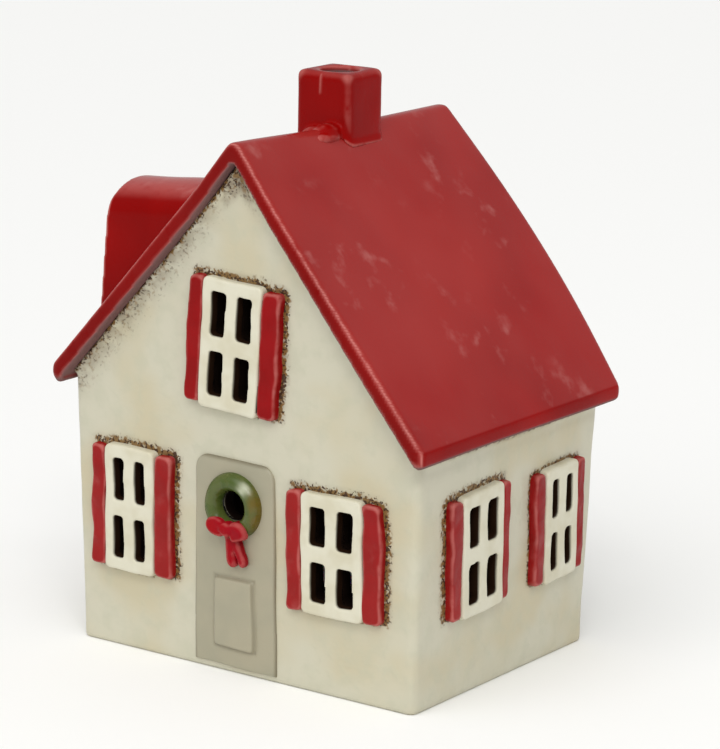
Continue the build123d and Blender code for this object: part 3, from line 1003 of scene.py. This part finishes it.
@dataclass
class CottageShell:
    """Walls, floor, eave coils and gable coils as one fired body; sizes in millimetres."""

    bow: SlopeBow
    voxel: float = 0.8
    wall_thickness: float = 5.0
    foot_rise: float = 4.0
    seat_rise: float = 1.6
    lean_size: float = 34.0
    lean_reach: float = 0.4
    dimple_size: float = 9.0
    dimple_reach: float = 0.08
    sponge_rounds: int = 3
    glazed_depth: float = 1.2
    # Depths at which the inside turns to bare clay painted near black as shade.
    bare_and_shade_depth: float = 1.92
    cut_depth: float = 0.3
    cut_facing: tuple[float, float] = (0.75, 0.45)
    junction_reach: float = 2.4
    junction_strength: float = 0.65
    scatter_reach: float = 9.0
    scatter_start: float = 10.0
    scatter_full: float = -25.0
    scatter_strength: float = 0.24
    # Reach and strength of the grey-brown smear and the painted shade under the roof.
    smudge_and_shade_reach: float = 6.0
    smudge_and_shade_strength: float = 0.75
    peak_half_width: float = 9.0
    peak_reach: float = 6.5
    peak_smudge_and_shade_share: float = 0.5
    coil_radius: float = 1.2
    coil_radius_spread: float = 0.15
    coil_step: float = 0.9
    coil_drop: float = 1.0
    coil_stand_off: float = 0.1

    def build(self, finishes: Finishes, stains: list[WallStain]) -> None:
        """Make the shell and mark where the oxide gathers.

        Args:
            finishes: Materials of the house.
            stains: Stains that the windows leave.
        """
        roof = self.roof_surface()
        nodes = ["front_wall", "back_wall", "left_wall", "right_wall"]
        nodes += ["left_eave_coil", "right_eave_coil", "floor_slab"]
        shell = ClayPiece("clay_shell", nodes, self.voxel, self.gable_coils(roof))
        shell.sponge(self.sponge_rounds)
        places = shell.points
        places[:, 2] *= ease(places[:, 2], 0, self.seat_rise * MM)
        shell.points = places
        steady = ease(places[:, 2], 0, self.foot_rise * MM)
        shell.swell(self.lean_size, self.lean_reach, seed=1, weight=steady)
        shell.swell(self.dimple_size, self.dimple_reach, seed=2, weight=steady)
        depth = self.depth_in_wall(shell.points)
        # Inside, on the cut sides of the holes and behind the panes: bare clay painted near black as shade.
        inside = ease(depth, self.glazed_depth * MM, self.bare_and_shade_depth * MM)
        bare = np.maximum(inside, steady * self.cut_sides(shell, depth))
        for window_stain in stains:
            bare = np.maximum(bare, window_stain.behind_panes(shell.points))
        shell.paint("bare", bare)
        gaps = np.array([roof.find_nearest(point)[3] for point in shell.points])
        stain = self.junction_stain(shell.points, gaps)
        for window_stain in stains:
            stain = np.maximum(stain, window_stain.share_at(shell.points))
        shell.paint("oxide", stain * (depth < self.glazed_depth * MM))
        # Grey-brown smear round the windows, and painted shade under the left slope and in the peak.
        smudge_and_shade = self.junction_smudge_and_shade(shell.points, gaps)
        shell.paint("smudge_and_shade", np.maximum(self.smudge_and_shade_strength * stain, smudge_and_shade))
        shell.points = shell.points + self.bow.lift_walls(shell.points)
        shell.settle("wall_glaze", finishes.cream)

    def roof_surface(self) -> BVHTree:
        """Surface of the roof, for finding what lies near it."""
        joined = bmesh.new()
        for node in ("left_roof_slab", "right_roof_slab"):
            joined.from_mesh(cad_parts[node].data)
        surface = BVHTree.FromBMesh(joined)
        joined.free()
        return surface

    def gable_coils(self, roof: BVHTree) -> list[Lump]:
        """Coils of clay pressed by hand into the joints between the gables and the roof.

        Args:
            roof: Surface of the roof.

        Returns:
            Pellets that make up the coils.
        """
        hand = random.Random(7)
        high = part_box("floor_slab")[1]
        half_width, half_depth = high.x / MM + self.wall_thickness, high.y / MM + self.wall_thickness
        steps = int(2 * half_width / self.coil_step)
        lumps = []
        for side in (-1, 1):
            for step in range(steps + 1):
                across = (2 * step / steps - 1) * half_width
                hit = roof.ray_cast(Vector((across, side * half_depth, half_width)) * MM, UPWARD)[0]
                height = hit.z / MM - self.coil_drop
                away = half_depth + height * math.tan(WALL_LEAN) + self.coil_stand_off
                radius = self.coil_radius * (1 + self.coil_radius_spread * hand.uniform(-1, 1))
                lumps.append(Lump((across, side * away, height), (radius, radius, radius)))
        return lumps

    def depths(self, points: np.ndarray) -> np.ndarray:
        """Depth of points behind the nearer side wall and behind the nearer gable.

        Args:
            points: Places in metres.

        Returns:
            Two columns of depths in metres.
        """
        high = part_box("floor_slab")[1]
        outward = self.wall_thickness * MM + math.tan(WALL_LEAN) * points[:, 2]
        return outward[:, None] + np.array([high.x, high.y]) - np.abs(points[:, :2])

    def depth_in_wall(self, points: np.ndarray) -> np.ndarray:
        """Depth of points behind the nearest outer wall face, in metres."""
        return self.depths(points).min(axis=1)

    def cut_sides(self, shell: ClayPiece, depth: np.ndarray) -> np.ndarray:
        """Find the sides of the holes cut through the walls.

        Args:
            shell: The fired body.
            depth: Depth of each point behind its wall's face, in metres.

        Returns:
            Shares from 0 to 1.
        """
        wall = self.depths(shell.points).argmin(axis=1)
        facing = np.abs(np.take_along_axis(shell.normals, wall[:, None], axis=1)[:, 0])
        turned_away = ease(facing, *self.cut_facing)
        return turned_away * ease(depth, self.cut_depth * MM, 2 * self.cut_depth * MM)

    def leftward(self, points: np.ndarray) -> np.ndarray:
        """Share of the left side's oxide, smear and painted shade that each point gets."""
        return ease(points[:, 0], self.scatter_start * MM, self.scatter_full * MM)

    def in_peak(self, points: np.ndarray, gaps: np.ndarray) -> np.ndarray:
        """Share of the oxide and the painted shade in the gable's peak that each point gets, by its
        distance from the roof.
        """
        middle = ease(np.abs(points[:, 0]), self.peak_half_width * MM, 0)
        return middle * ease(gaps, self.peak_reach * MM, 0)

    def junction_stain(self, points: np.ndarray, gaps: np.ndarray) -> np.ndarray:
        """Oxide in the joint under the roof, scattered further down the left side of the gable.

        Args:
            points: Places on the walls.
            gaps: Their distances from the roof, in metres.

        Returns:
            Shares from 0 to 1.
        """
        line = np.maximum(ease(gaps, self.junction_reach * MM, 0), self.in_peak(points, gaps))
        scatter = self.leftward(points) * ease(gaps, self.scatter_reach * MM, self.junction_reach / 2 * MM)
        return np.maximum(self.junction_strength * line, self.scatter_strength * scatter)

    def junction_smudge_and_shade(self, points: np.ndarray, gaps: np.ndarray) -> np.ndarray:
        """Grey-brown smear of wiped oxide and painted shade under the left slope and in the gable's peak,
        darker nearer the roof.

        Args:
            points: Places on the walls.
            gaps: Their distances from the roof, in metres.

        Returns:
            Shares from 0 to 1.
        """
        side = self.smudge_and_shade_strength * self.leftward(points) * ease(gaps, self.smudge_and_shade_reach * MM, 0)
        return np.maximum(ease(self.in_peak(points, gaps), 0, self.peak_smudge_and_shade_share), side)


@dataclass
class RoofPair:
    """Both roof slabs, joined over the ridge; sizes in millimetres."""

    bow: SlopeBow
    voxel: float = 0.7
    swell_size: float = 40.0
    swell_reach: float = 0.35
    sponge_rounds: int = 4
    melt_rounds: int = 1
    edge_heights: tuple[float, float] = (0.08, 0.16)
    edge_strength: float = 0.4
    # Painted highlight along the arrises where the slopes turn to the front and back faces.
    arris_turn: float = 0.6
    arris_spread: float = 0.2
    arris_highlight_strength: float = 0.6
    # Painted shade on faces turned to the front and back.
    shade_strength: float = 0.5
    shade_turn: tuple[float, float] = (0.8, 0.97)
    under_rise: tuple[float, float] = (-0.25, -0.5)
    # Upward faces that get painted sky reflection and cloudy glaze.
    veil_and_reflection_rise: tuple[float, float] = (0.35, 0.6)
    veil_and_reflection_turn: tuple[float, float] = (0.5, 0.15)
    peak_lift: float = 1.4
    peak_half_width: float = 14.0
    bead_step: float = 1.5
    bead_inset: float = 1.9
    bead_drop: float = 1.5
    bead_radii: tuple[float, float, float] = (1.7, 1.8, 2.5)

    def build(self, finishes: Finishes) -> None:
        """Make the roof and mark its pink edges with painted highlights, painted shade on faces turned to
        the front and back, painted sky reflection on upward faces and its bare underside.

        Args:
            finishes: Materials of the house.
        """
        nodes = ["left_roof_slab", "right_roof_slab"]
        roof = ClayPiece("clay_roof", nodes, self.voxel, self.left_bead())
        roof.sponge(self.sponge_rounds)
        roof.melt(self.melt_rounds)
        roof.swell(self.swell_size, self.swell_reach, seed=5)
        turn, rise = np.abs(roof.normals[:, 1]), roof.normals[:, 2]
        # Painted highlight: a pink line along the arrises between the slopes and the front and back faces.
        arris_highlight = self.arris_highlight_strength * np.exp(-(((turn - self.arris_turn) / self.arris_spread) ** 2))
        edge = self.edge_strength * roof.edge_share(1, *self.edge_heights)
        roof.paint("edge", np.maximum(edge, arris_highlight))
        # Painted shade: darker red on faces turned to the front and back.
        roof.paint("pool", self.shade_strength * ease(turn, *self.shade_turn))
        roof.paint("under", ease(rise, *self.under_rise))
        # Whitish red on upward faces: painted sky reflection and cloudy glaze.
        roof.paint("veil_and_reflection", ease(rise, *self.veil_and_reflection_rise) * ease(turn, *self.veil_and_reflection_turn))
        places = roof.points + self.bow.lift(roof.points)
        peak = ease(np.abs(places[:, 0]), self.peak_half_width * MM, 0)
        places[:, 2] += self.peak_lift * MM * peak * ease(places[:, 1], 0, places[:, 1].min())
        roof.points = places
        roof.settle("roof_glaze", finishes.roof)

    def left_bead(self) -> list[Lump]:
        """Bead of clay that hangs under the left eave.

        Returns:
            Pellets that make up the bead.
        """
        low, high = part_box("left_roof_slab")
        across, height = low.x / MM + self.bead_inset, low.z / MM + self.bead_drop
        ends = low.y / MM + self.bead_inset, high.y / MM - self.bead_inset
        count = int((ends[1] - ends[0]) / self.bead_step)
        return [Lump((across, along, height), self.bead_radii) for along in np.linspace(*ends, count)]


@dataclass
class Chimney:
    """Chimney stack, its skirt and the pellets pressed round its foot; sizes in millimetres."""

    voxel: float = 0.45
    swell_size: float = 9.0
    swell_reach: float = 0.25
    flue_radius: float = 5.4
    flue_fade: float = 0.432
    flue_lip: float = 1.6
    sponge_rounds: int = 3
    melt_rounds: int = 9
    edge_heights: tuple[float, float] = (0.022, 0.060)
    edge_strength: float = 0.3
    # A painted highlight: a pink streak down the front face near its left, where glaze ran down.
    drip_highlight_across: float = -4.2
    drip_highlight_half_width: float = 0.6
    drip_highlight_length: float = 6.5
    drip_highlight_full_length: float = 5.2
    drip_highlight_facing: tuple[float, float] = (0.5, 0.9)
    drip_highlight_strength: float = 0.35
    pellets: tuple[Lump, ...] = (
        Lump((-5.0, -5.4, 141.6), (4.5, 2.6, 3.0)),
        Lump((0.4, -7.6, 143.6), (3.6, 5.4, 2.6)),
        Lump((2.2, -9.6, 142.6), (2.6, 6.4, 2.0)),
    )

    def build(self, finishes: Finishes) -> None:
        """Make the chimney and mark its pink edges, a painted highlight down its front and the flue.

        Args:
            finishes: Materials of the house.
        """
        nodes = ["chimney_stack", "chimney_collar"]
        chimney = ClayPiece("clay_chimney", nodes, self.voxel, list(self.pellets))
        chimney.sponge(self.sponge_rounds)
        chimney.melt(self.melt_rounds)
        chimney.swell(self.swell_size, self.swell_reach, seed=8)
        low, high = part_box("chimney_stack")
        points, below_top = chimney.points, high.z - chimney.points[:, 2]
        # Painted highlight: a pink streak down the front near the top, on points facing the front.
        drip_highlight = ease(np.abs(points[:, 0] - self.drip_highlight_across * MM), self.drip_highlight_half_width * MM, 0)
        drip_highlight *= ease(below_top, self.drip_highlight_length * MM, self.drip_highlight_full_length * MM)
        drip_highlight *= ease(-chimney.normals[:, 1], *self.drip_highlight_facing)
        edge = self.edge_strength * chimney.edge_share(1, *self.edge_heights)
        chimney.paint("edge", np.maximum(edge, self.drip_highlight_strength * drip_highlight))
        middle, lip = (low + high) / 2, self.flue_lip * MM
        reach = np.hypot(points[:, 0] - middle.x, points[:, 1] - middle.y)
        in_flue = ease(reach, (self.flue_radius + self.flue_fade) * MM, self.flue_radius * MM)
        chimney.paint("under", in_flue * ease(below_top, lip / 2, lip))
        chimney.settle("roof_glaze", finishes.roof)


@dataclass
class Dormer:
    """Barrel dormer on the left slope with its face; sizes in millimetres."""

    voxel: float = 0.5
    swell_size: float = 16.0
    hood_swell: float = 0.3
    face_swell: float = 0.1
    bare_and_shade_start: float = 1.0
    bare_and_shade_full: float = 2.0
    hood_sponge_rounds: int = 3
    hood_melt_rounds: int = 2
    face_sponge_rounds: int = 2
    edge_heights: tuple[float, float] = (0.035, 0.085)
    edge_strength: float = 0.5
    crown_rise: tuple[float, float] = (0.6, 0.95)
    # Strength of the painted highlight over the hood's top.
    crown_highlight: float = 0.12

    def build(self, finishes: Finishes) -> None:
        """Make the hood and the face.

        Args:
            finishes: Materials of the house.
        """
        hood = ClayPiece("clay_dormer_hood", ["dormer_hood"], self.voxel)
        hood.sponge(self.hood_sponge_rounds)
        hood.melt(self.hood_melt_rounds)
        hood.swell(self.swell_size, self.hood_swell, seed=11)
        crown = ease(hood.normals[:, 2], *self.crown_rise)
        edge = self.edge_strength * hood.edge_share(2, *self.edge_heights)
        # Pink of thin glaze on the edges and a painted highlight over the hood's top.
        hood.paint("edge", np.maximum(edge, self.crown_highlight * crown))
        # Whitish red on the hood's top: painted sky reflection.
        hood.paint("veil_and_reflection", crown)
        hood.settle("roof_glaze", finishes.roof)
        face = ClayPiece("clay_dormer_face", ["dormer_face"], self.voxel)
        face.sponge(self.face_sponge_rounds)
        face.swell(self.swell_size, self.face_swell, seed=12)
        height = face.height_over(Wall.DORMER)
        # Sides of the window cut in the face: bare clay painted near black as shade.
        face.paint("bare", ease(height.max() - height, self.bare_and_shade_start * MM, self.bare_and_shade_full * MM))
        face.settle("wall_glaze", finishes.cream)


@dataclass
class WreathedDoor:
    """Door with its panel, the wreath and the bow; sizes in millimetres."""

    door_voxel: float = 0.4
    fine_voxel: float = 0.25
    door_sponge_rounds: int = 2
    wreath_sponge_rounds: int = 3
    bow_melt_rounds: int = 7
    sink: float = 0.9
    groove_width: float = 0.7
    groove_depth: float = 0.2
    groove_shade_strength: float = 0.4
    rim_width: float = 1.2
    rim_shade_strength: float = 0.8
    hole_radius: float = 4.2
    hole_fade: float = 0.4
    door_wave: float = 14.0
    door_cut_reach: float = 0.5
    wreath_swell: float = 0.15
    wreath_swell_size: float = 6.0
    side_shares: tuple[float, float] = (0.55, 0.9)
    crest_degrees: float = 50.0
    crest_shares: tuple[float, float] = (0.62, 0.74)
    crest_facing: tuple[float, float] = (0.35, 0.75)
    crest_spread: float = 0.22
    crest_highlight_strength: float = 0.55
    bow_puff: float = 0.55
    bow_swell: float = 0.4
    bow_swell_size: float = 3.4
    bow_edge_heights: tuple[float, float] = (0.06, 0.14)
    bow_edge_strength: float = 0.2
    bow_slip: float = 1.2
    tail_lean_share: float = 0.25
    tail_gather_share: float = 0.5
    tail_gather_length: float = 3.0
    loop_squash_share: float = 0.2

    def build(self, finishes: Finishes) -> None:
        """Make the door, the wreath and the bow.

        Args:
            finishes: Materials of the house.
        """
        self.make_door(finishes.door)
        self.make_wreath(finishes.wreath)
        self.make_bow(finishes.bow)

    def make_door(self, glaze: bpy.types.Material) -> None:
        """Make the door slab with its panel, painted shade in the groove round the panel and along the
        door's rim, and near-black painted shade in the wreath's opening.

        Args:
            glaze: Finish of the door.
        """
        door = ClayPiece("clay_door", ["door_slab", "door_panel"], self.door_voxel)
        door.sponge(self.door_sponge_rounds)
        points = door.points
        low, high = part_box("door_panel")
        outside = np.maximum(
            np.abs(points[:, 0] - (low.x + high.x) / 2) - (high.x - low.x) / 2,
            np.abs(points[:, 2] - (low.z + high.z) / 2) - (high.z - low.z) / 2,
        )
        groove = ease(np.abs(outside - self.groove_width / 3 * MM), self.groove_width * MM, 0)
        low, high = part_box("door_slab")
        rim = np.minimum(np.minimum(points[:, 0] - low.x, high.x - points[:, 0]), high.z - points[:, 2])
        rim_shade = self.rim_shade_strength * ease(rim, self.rim_width * MM, 0)
        # Painted shade in the groove and along the top and sides of the rim.
        door.paint("groove_and_rim_shade", np.maximum(self.groove_shade_strength * groove, rim_shade))
        low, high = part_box("wreath_ring")
        middle = (low + high) / 2
        reach = np.hypot(points[:, 0] - middle.x, points[:, 2] - middle.z)
        # Near-black painted shade where the wreath's opening goes through the door.
        door.paint("hole_shade", ease(reach, (self.hole_radius + self.hole_fade) * MM, self.hole_radius * MM))
        door.puff(-self.groove_depth * groove)
        door.waver(self.door_wave, self.door_cut_reach, seed=31, wall=Wall.FRONT)
        door.sink_back(Wall.FRONT, self.sink)
        door.settle("door_glaze", glaze)

    def make_wreath(self, glaze: bpy.types.Material) -> None:
        """Make the wreath with its brown side and a pale painted highlight at its crest.

        Args:
            glaze: Finish of the wreath.
        """
        wreath = ClayPiece("clay_wreath", ["wreath_ring"], self.fine_voxel)
        wreath.sponge(self.wreath_sponge_rounds)
        wreath.swell(self.wreath_swell_size, self.wreath_swell, seed=41)
        low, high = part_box("wreath_ring")
        middle, radius = (low + high) / 2, (high.x - low.x) / 2
        across = (wreath.points[:, 0] - middle.x) / radius
        upward = (wreath.points[:, 2] - middle.z) / radius
        wreath.paint("side", ease(across, *self.side_shares))
        # Painted highlight: a pale patch at the upper right of the ring, on points facing the front.
        turn = np.arctan2(upward, across) - math.radians(self.crest_degrees)
        highlight_spot = np.exp(-((turn / self.crest_spread) ** 2))
        highlight_spot *= ease(np.hypot(across, upward), *self.crest_shares)
        highlight_spot *= ease(-wreath.normals[:, 1], *self.crest_facing)
        wreath.paint("crest", self.crest_highlight_strength * highlight_spot)
        wreath.sink_back(Wall.FRONT, self.sink)
        wreath.settle("wreath_glaze", glaze)

    def make_bow(self, glaze: bpy.types.Material) -> None:
        """Make the bow as one blob of clay, fattened by its thick glaze.

        Args:
            glaze: Finish of the bow.
        """
        bow = ClayPiece("clay_bow", ["bow_loops", "bow_knot", "bow_tails"], self.fine_voxel)
        low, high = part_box("bow_knot")
        knot = (low + high) / 2
        places = bow.points
        hang = np.clip(knot.z - places[:, 2], 0, None)
        gather = self.tail_gather_length * MM
        gathered = 1 - self.tail_gather_share * ease(hang, gather / 2, gather)
        lean = self.tail_lean_share * hang + self.bow_slip * MM
        places[:, 0] = knot.x + gathered * (places[:, 0] - knot.x) + lean
        places[:, 2] -= self.loop_squash_share * np.clip(places[:, 2] - knot.z, 0, None)
        bow.points = places
        bow.skin()
        bow.melt(self.bow_melt_rounds)
        bow.puff(self.bow_puff)
        bow.swell(self.bow_swell_size, self.bow_swell, seed=51)
        bow.paint("edge", self.bow_edge_strength * bow.edge_share(2, *self.bow_edge_heights))
        bow.settle("bow_glaze", glaze)


def arc(middle: tuple[float, float], radius: float, start: float, end: float, count: int) -> Outline:
    """Points of an arc.

    Args:
        middle: Its middle, as a radius and a height in metres.
        radius: Its radius in metres.
        start: Angle of its first point, in degrees.
        end: Angle of its last point.
        count: Number of points.

    Returns:
        Pairs of a radius and a height.
    """
    angles = np.radians(np.linspace(start, end, count))
    return [(middle[0] + radius * math.cos(turn), middle[1] + radius * math.sin(turn)) for turn in angles]


def turned(
    name: str,
    outline: Outline,
    steps: int,
    flute: Callable[[float, float, float], float] | None = None,
) -> bpy.types.Object:
    """Turn an outline about the upright axis through the origin.

    Args:
        name: Name of the piece.
        outline: Radius and height of each point, in metres, from the axis outwards and back to it.
        steps: Number of steps round the axis.
        flute: Radius to add at a radius, height and angle.

    Returns:
        The turned mesh.
    """
    rows = []
    for angle in np.linspace(0, 2 * math.pi, steps, endpoint=False):
        for radius, height in outline:
            reach = radius + (flute(radius, height, angle) if flute else 0)
            rows.append((reach * math.cos(angle), reach * math.sin(angle), height))
    count = len(outline)
    faces = []
    for step in range(steps):
        here, there = step * count, (step + 1) % steps * count
        for index in range(count - 1):
            faces.append((here + index, there + index, there + index + 1, here + index + 1))
    mesh = bpy.data.meshes.new(name)
    mesh.from_pydata(rows, [], faces)
    shape = bmesh.new()
    shape.from_mesh(mesh)
    bmesh.ops.remove_doubles(shape, verts=shape.verts, dist=MM * MM)
    bmesh.ops.recalc_face_normals(shape, faces=shape.faces)
    shape.to_mesh(mesh)
    shape.free()
    return new_object(name, mesh)


@dataclass
class Tealight:
    """Tealight in its pressed cup; sizes in millimetres."""

    steps: int = 144
    foil: float = 0.35
    rim: float = 0.5
    rim_end_degrees: float = 135.0
    arc_points: int = 9
    heel: float = 1.4
    base_rise: float = 0.6
    base_ring_shares: tuple[float, float] = (0.62, 0.70)
    side_points: int = 12
    flutes: int = 36
    flute_depth: float = 0.28
    wax_foot: float = 1.0
    wax_rings: int = 32
    meniscus: float = 0.7
    meniscus_width: float = 0.8
    pool_radius: float = 6.0
    pool_depth: float = 0.5
    strands: int = 3
    strand_turns: float = 3.0
    strand_share: float = 0.52
    strand_rings: int = 49
    strand_corners: int = 10
    tip_start_share: float = 0.9
    tip_shrink_share: float = 0.45

    def build(self, finishes: Finishes) -> None:
        """Make the cup, the wax and the wick, and dress the disc.

        Args:
            finishes: Materials of the house.
        """
        self.make_cup(finishes.aluminium)
        self.make_wax(finishes.wax)
        self.make_wick(finishes.cotton)
        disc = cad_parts["wick_sustainer"]
        disc.data.materials.clear()
        disc.data.materials.append(finishes.tin)

    def make_cup(self, metal: bpy.types.Material) -> None:
        """Make the cup: a raised base, fluted sides and a rolled rim.

        Args:
            metal: Finish of the cup.
        """
        low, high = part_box("tealight_cup")
        rim, foil, heel, rise = (size * MM for size in (self.rim, self.foil, self.heel, self.base_rise))
        radius, base, top = high.x - rim, low.z, high.z - rim
        inner, outer = (share * radius for share in self.base_ring_shares)
        outline = [(0, base + rise), (inner, base + rise), (outer, base)]
        outline += arc((radius - heel, base + heel), heel, -90, 0, self.arc_points)
        heights = np.linspace(base + heel, top - rim, self.side_points)[1:-1]
        outline += [(radius, height) for height in heights]
        outline += arc((radius, top), rim, -90, self.rim_end_degrees, self.arc_points)
        outline += [(radius - foil, top - rim), (radius - foil, base + heel)]
        outline += [(radius - heel, base + foil), (outer, base + foil), (inner, base + rise + foil)]
        outline += [(0, base + rise + foil)]

        def flute(reach: float, height: float, angle: float) -> float:
            """Radius of the flutes at a point of the side."""
            share = (height - base - heel) / (top - rim - base - heel)
            if reach < radius - foil or not 0 < share < 1:
                return 0.0
            wave = (1 + math.cos(self.flutes * angle)) / 2
            return -self.flute_depth * MM * math.sin(math.pi * share) * wave

        cup = turned("pressed_cup", outline, self.steps, flute)
        settle_mesh(cup, "tealight", metal, ["tealight_cup"])

    def make_wax(self, wax: bpy.types.Material) -> None:
        """Make the wax: it climbs a little at the cup and sinks round the wick.

        Args:
            wax: Finish of the wax.
        """
        low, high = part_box("tealight_wax")
        foot = low.z + self.wax_foot * MM
        radius = high.x - self.flute_depth * MM
        outline = [(0, foot), (radius - self.wax_foot * MM, foot), (radius, foot + self.wax_foot * MM)]
        for reach in np.linspace(radius, 0, self.wax_rings):
            climb = self.meniscus * math.exp((reach - radius) / (self.meniscus_width * MM))
            pool = self.pool_depth * math.exp(-((reach / (self.pool_radius * MM)) ** 2))
            outline.append((reach, high.z + (climb - self.meniscus - pool) * MM))
        block = turned("poured_wax", outline, self.steps)
        settle_mesh(block, "tealight", wax, ["tealight_wax"])

    def make_wick(self, cotton: bpy.types.Material) -> None:
        """Make the wick: strands laid round each other, with a softened tip.

        Args:
            cotton: Finish of the wick.
        """
        low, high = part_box("wick")
        wick = bmesh.new()
        for strand in range(self.strands):
            rings = [
                self.strand_ring(wick, 2 * math.pi * strand / self.strands, share, low, high)
                for share in np.linspace(0, 1, self.strand_rings)
            ]
            for one, other in zip(rings, rings[1:]):
                for corner in range(self.strand_corners):
                    after = (corner + 1) % self.strand_corners
                    wick.faces.new((one[corner], one[after], other[after], other[corner]))
            wick.faces.new(rings[0][::-1])
            wick.faces.new(rings[-1])
        mesh = bpy.data.meshes.new("braided_wick")
        wick.to_mesh(mesh)
        wick.free()
        piece = new_object("braided_wick", mesh)
        settle_mesh(piece, "tealight", cotton, ["wick"])

    def strand_ring(
        self, wick: bmesh.types.BMesh, phase: float, share: float, low: Vector, high: Vector
    ) -> list[bmesh.types.BMVert]:
        """Add one ring of points of a strand.

        Args:
            wick: Mesh to add to.
            phase: Angle at which the strand starts.
            share: Share of the wick's height at the ring.
            low: Low corner of the wick.
            high: High corner of the wick.

        Returns:
            The points of the ring.
        """
        radius = (high.x - low.x) / 2
        past_start = max(0.0, (share - self.tip_start_share) / (1 - self.tip_start_share))
        tip = 1 - self.tip_shrink_share * past_start
        strand = self.strand_share * radius * tip
        reach = (1 - self.strand_share) * radius * tip
        angle = phase + 2 * math.pi * self.strand_turns * share
        height = low.z + share * (high.z - low.z)
        middle = Vector((reach * math.cos(angle), reach * math.sin(angle), height))
        turns = np.linspace(0, 2 * math.pi, self.strand_corners, endpoint=False)
        steps = [Vector((math.cos(turn), math.sin(turn), 0)) * strand for turn in turns]
        return [wick.verts.new(middle + step) for step in steps]


@dataclass
class Studio:
    """Pale floor, soft light and the camera; sizes in millimetres unless the name says otherwise."""

    floor_reach: float = 6000.0
    floor_colour: str = "FAFAF8"
    floor_roughness: float = 0.9
    floor_specular: float = 0.1
    sky_strength: float = 0.55
    key_strength: float = 1.55
    key_angle_degrees: float = 70.0
    key_from: tuple[float, float, float] = (0.15, -0.55, 0.85)
    box_from: tuple[float, float, float] = (0.45, -0.57, 0.68)
    box_distance: float = 1400.0
    box_sides: tuple[float, float] = (420.0, 200.0)
    box_watts: float = 2.5
    camera_aim: tuple[float, float, float] = (8.63, -1.61, 77.10)
    camera_azimuth_degrees: float = 35.036
    camera_elevation_degrees: float = 13.481
    camera_roll_degrees: float = 1.074
    camera_distance: float = 938.99
    focal_pixels: float = 3450.0
    long_side_pixels: float = 749.0
    sensor: float = 36.0

    def build(self) -> None:
        """Make the floor, the lights and the camera."""
        self.make_floor()
        self.make_light()
        self.make_camera()
        bpy.context.scene.view_settings.view_transform = "Standard"

    def make_floor(self) -> None:
        """Lay the floor."""
        reach = self.floor_reach * MM
        mesh = bpy.data.meshes.new("floor")
        corners = [(-reach, -reach, 0), (reach, -reach, 0), (reach, reach, 0), (-reach, reach, 0)]
        mesh.from_pydata(corners, [], [(0, 1, 2, 3)])
        floor = new_object("floor", mesh)
        paper = bpy.data.materials.new("pale_paper")
        paper.use_nodes = True
        shader = paper.node_tree.nodes["Principled BSDF"]
        shader.inputs["Base Color"].default_value = linear(self.floor_colour)
        shader.inputs["Roughness"].default_value = self.floor_roughness
        shader.inputs["Specular IOR Level"].default_value = self.floor_specular
        mesh.materials.append(paper)

    def make_light(self) -> None:
        """Set an even sky, one broad key light and a small softbox that glints on the glaze."""
        world = bpy.data.worlds.new("studio_sky")
        world.use_nodes = True
        background = world.node_tree.nodes["Background"]
        background.inputs["Color"].default_value = (1.0, 1.0, 1.0, 1.0)
        background.inputs["Strength"].default_value = self.sky_strength
        bpy.context.scene.world = world
        key = bpy.data.lights.new("broad_key", "SUN")
        key.energy = self.key_strength
        key.angle = math.radians(self.key_angle_degrees)
        box = bpy.data.lights.new("softbox", "AREA")
        box.energy = self.box_watts
        box.shape = "RECTANGLE"
        box.size, box.size_y = (side * MM for side in self.box_sides)
        for light, source in ((key, self.key_from), (box, self.box_from)):
            lamp = new_object(light.name, light)
            lamp.location = Vector(source).normalized() * self.box_distance * MM
            lamp.rotation_euler = Vector(source).to_track_quat("Z", "Y").to_euler()

    def make_camera(self) -> None:
        """Stand the camera where the photograph was taken from."""
        azimuth = math.radians(self.camera_azimuth_degrees)
        elevation = math.radians(self.camera_elevation_degrees)
        level = math.cos(elevation)
        back = Vector((math.sin(azimuth) * level, -math.cos(azimuth) * level, math.sin(elevation)))
        right = Vector((math.cos(azimuth), math.sin(azimuth), 0))
        turn = Matrix.Rotation(math.radians(self.camera_roll_degrees), 3, back)
        right = turn @ right
        upward = back.cross(right)
        camera = bpy.data.cameras.new("photo_camera")
        camera.sensor_width = self.sensor
        camera.lens = self.focal_pixels * self.sensor / self.long_side_pixels
        stand = new_object("photo_camera", camera)
        place = Vector(self.camera_aim) * MM + back * self.camera_distance * MM
        columns = Matrix((right, upward, back)).transposed().to_4x4()
        stand.matrix_world = Matrix.Translation(place) @ columns
        bpy.context.scene.camera = stand


def main() -> None:
    """Build every piece of the house and the studio round it."""
    logging.basicConfig(level=logging.INFO, format="%(name)s %(message)s")
    finishes = Finishes.make()
    heavy_left = StainReach(left=3.2, right=1.2)
    thin = StainReach(above=1.6, left=1.2, right=1.2)
    windows = [
        ShutteredWindow("gable_window", Wall.FRONT, 101, veil_and_reflection_share=0.1),
        ShutteredWindow("front_left_window", Wall.FRONT, 104),
        ShutteredWindow("front_right_window", Wall.FRONT, 107),
        ShutteredWindow("right_front_window", Wall.RIGHT, 110, heavy_left, right_shutter_share=0.58),
        ShutteredWindow("right_rear_window", Wall.RIGHT, 113, thin, right_shutter_share=0.62),
        ShutteredWindow("left_front_window", Wall.LEFT, 116),
        ShutteredWindow("left_rear_window", Wall.LEFT, 119),
        ShutteredWindow("dormer_window", Wall.DORMER, 122, thin, shutters=False, rim_width=0.8),
    ]
    stains = [window.build(finishes) for window in windows]
    bow = SlopeBow()
    CottageShell(bow).build(finishes, stains)
    RoofPair(bow).build(finishes)
    Chimney().build(finishes)
    Dormer().build(finishes)
    WreathedDoor().build(finishes)
    Tealight().build(finishes)
    Studio().build()


if __name__ == "__main__":
    main()
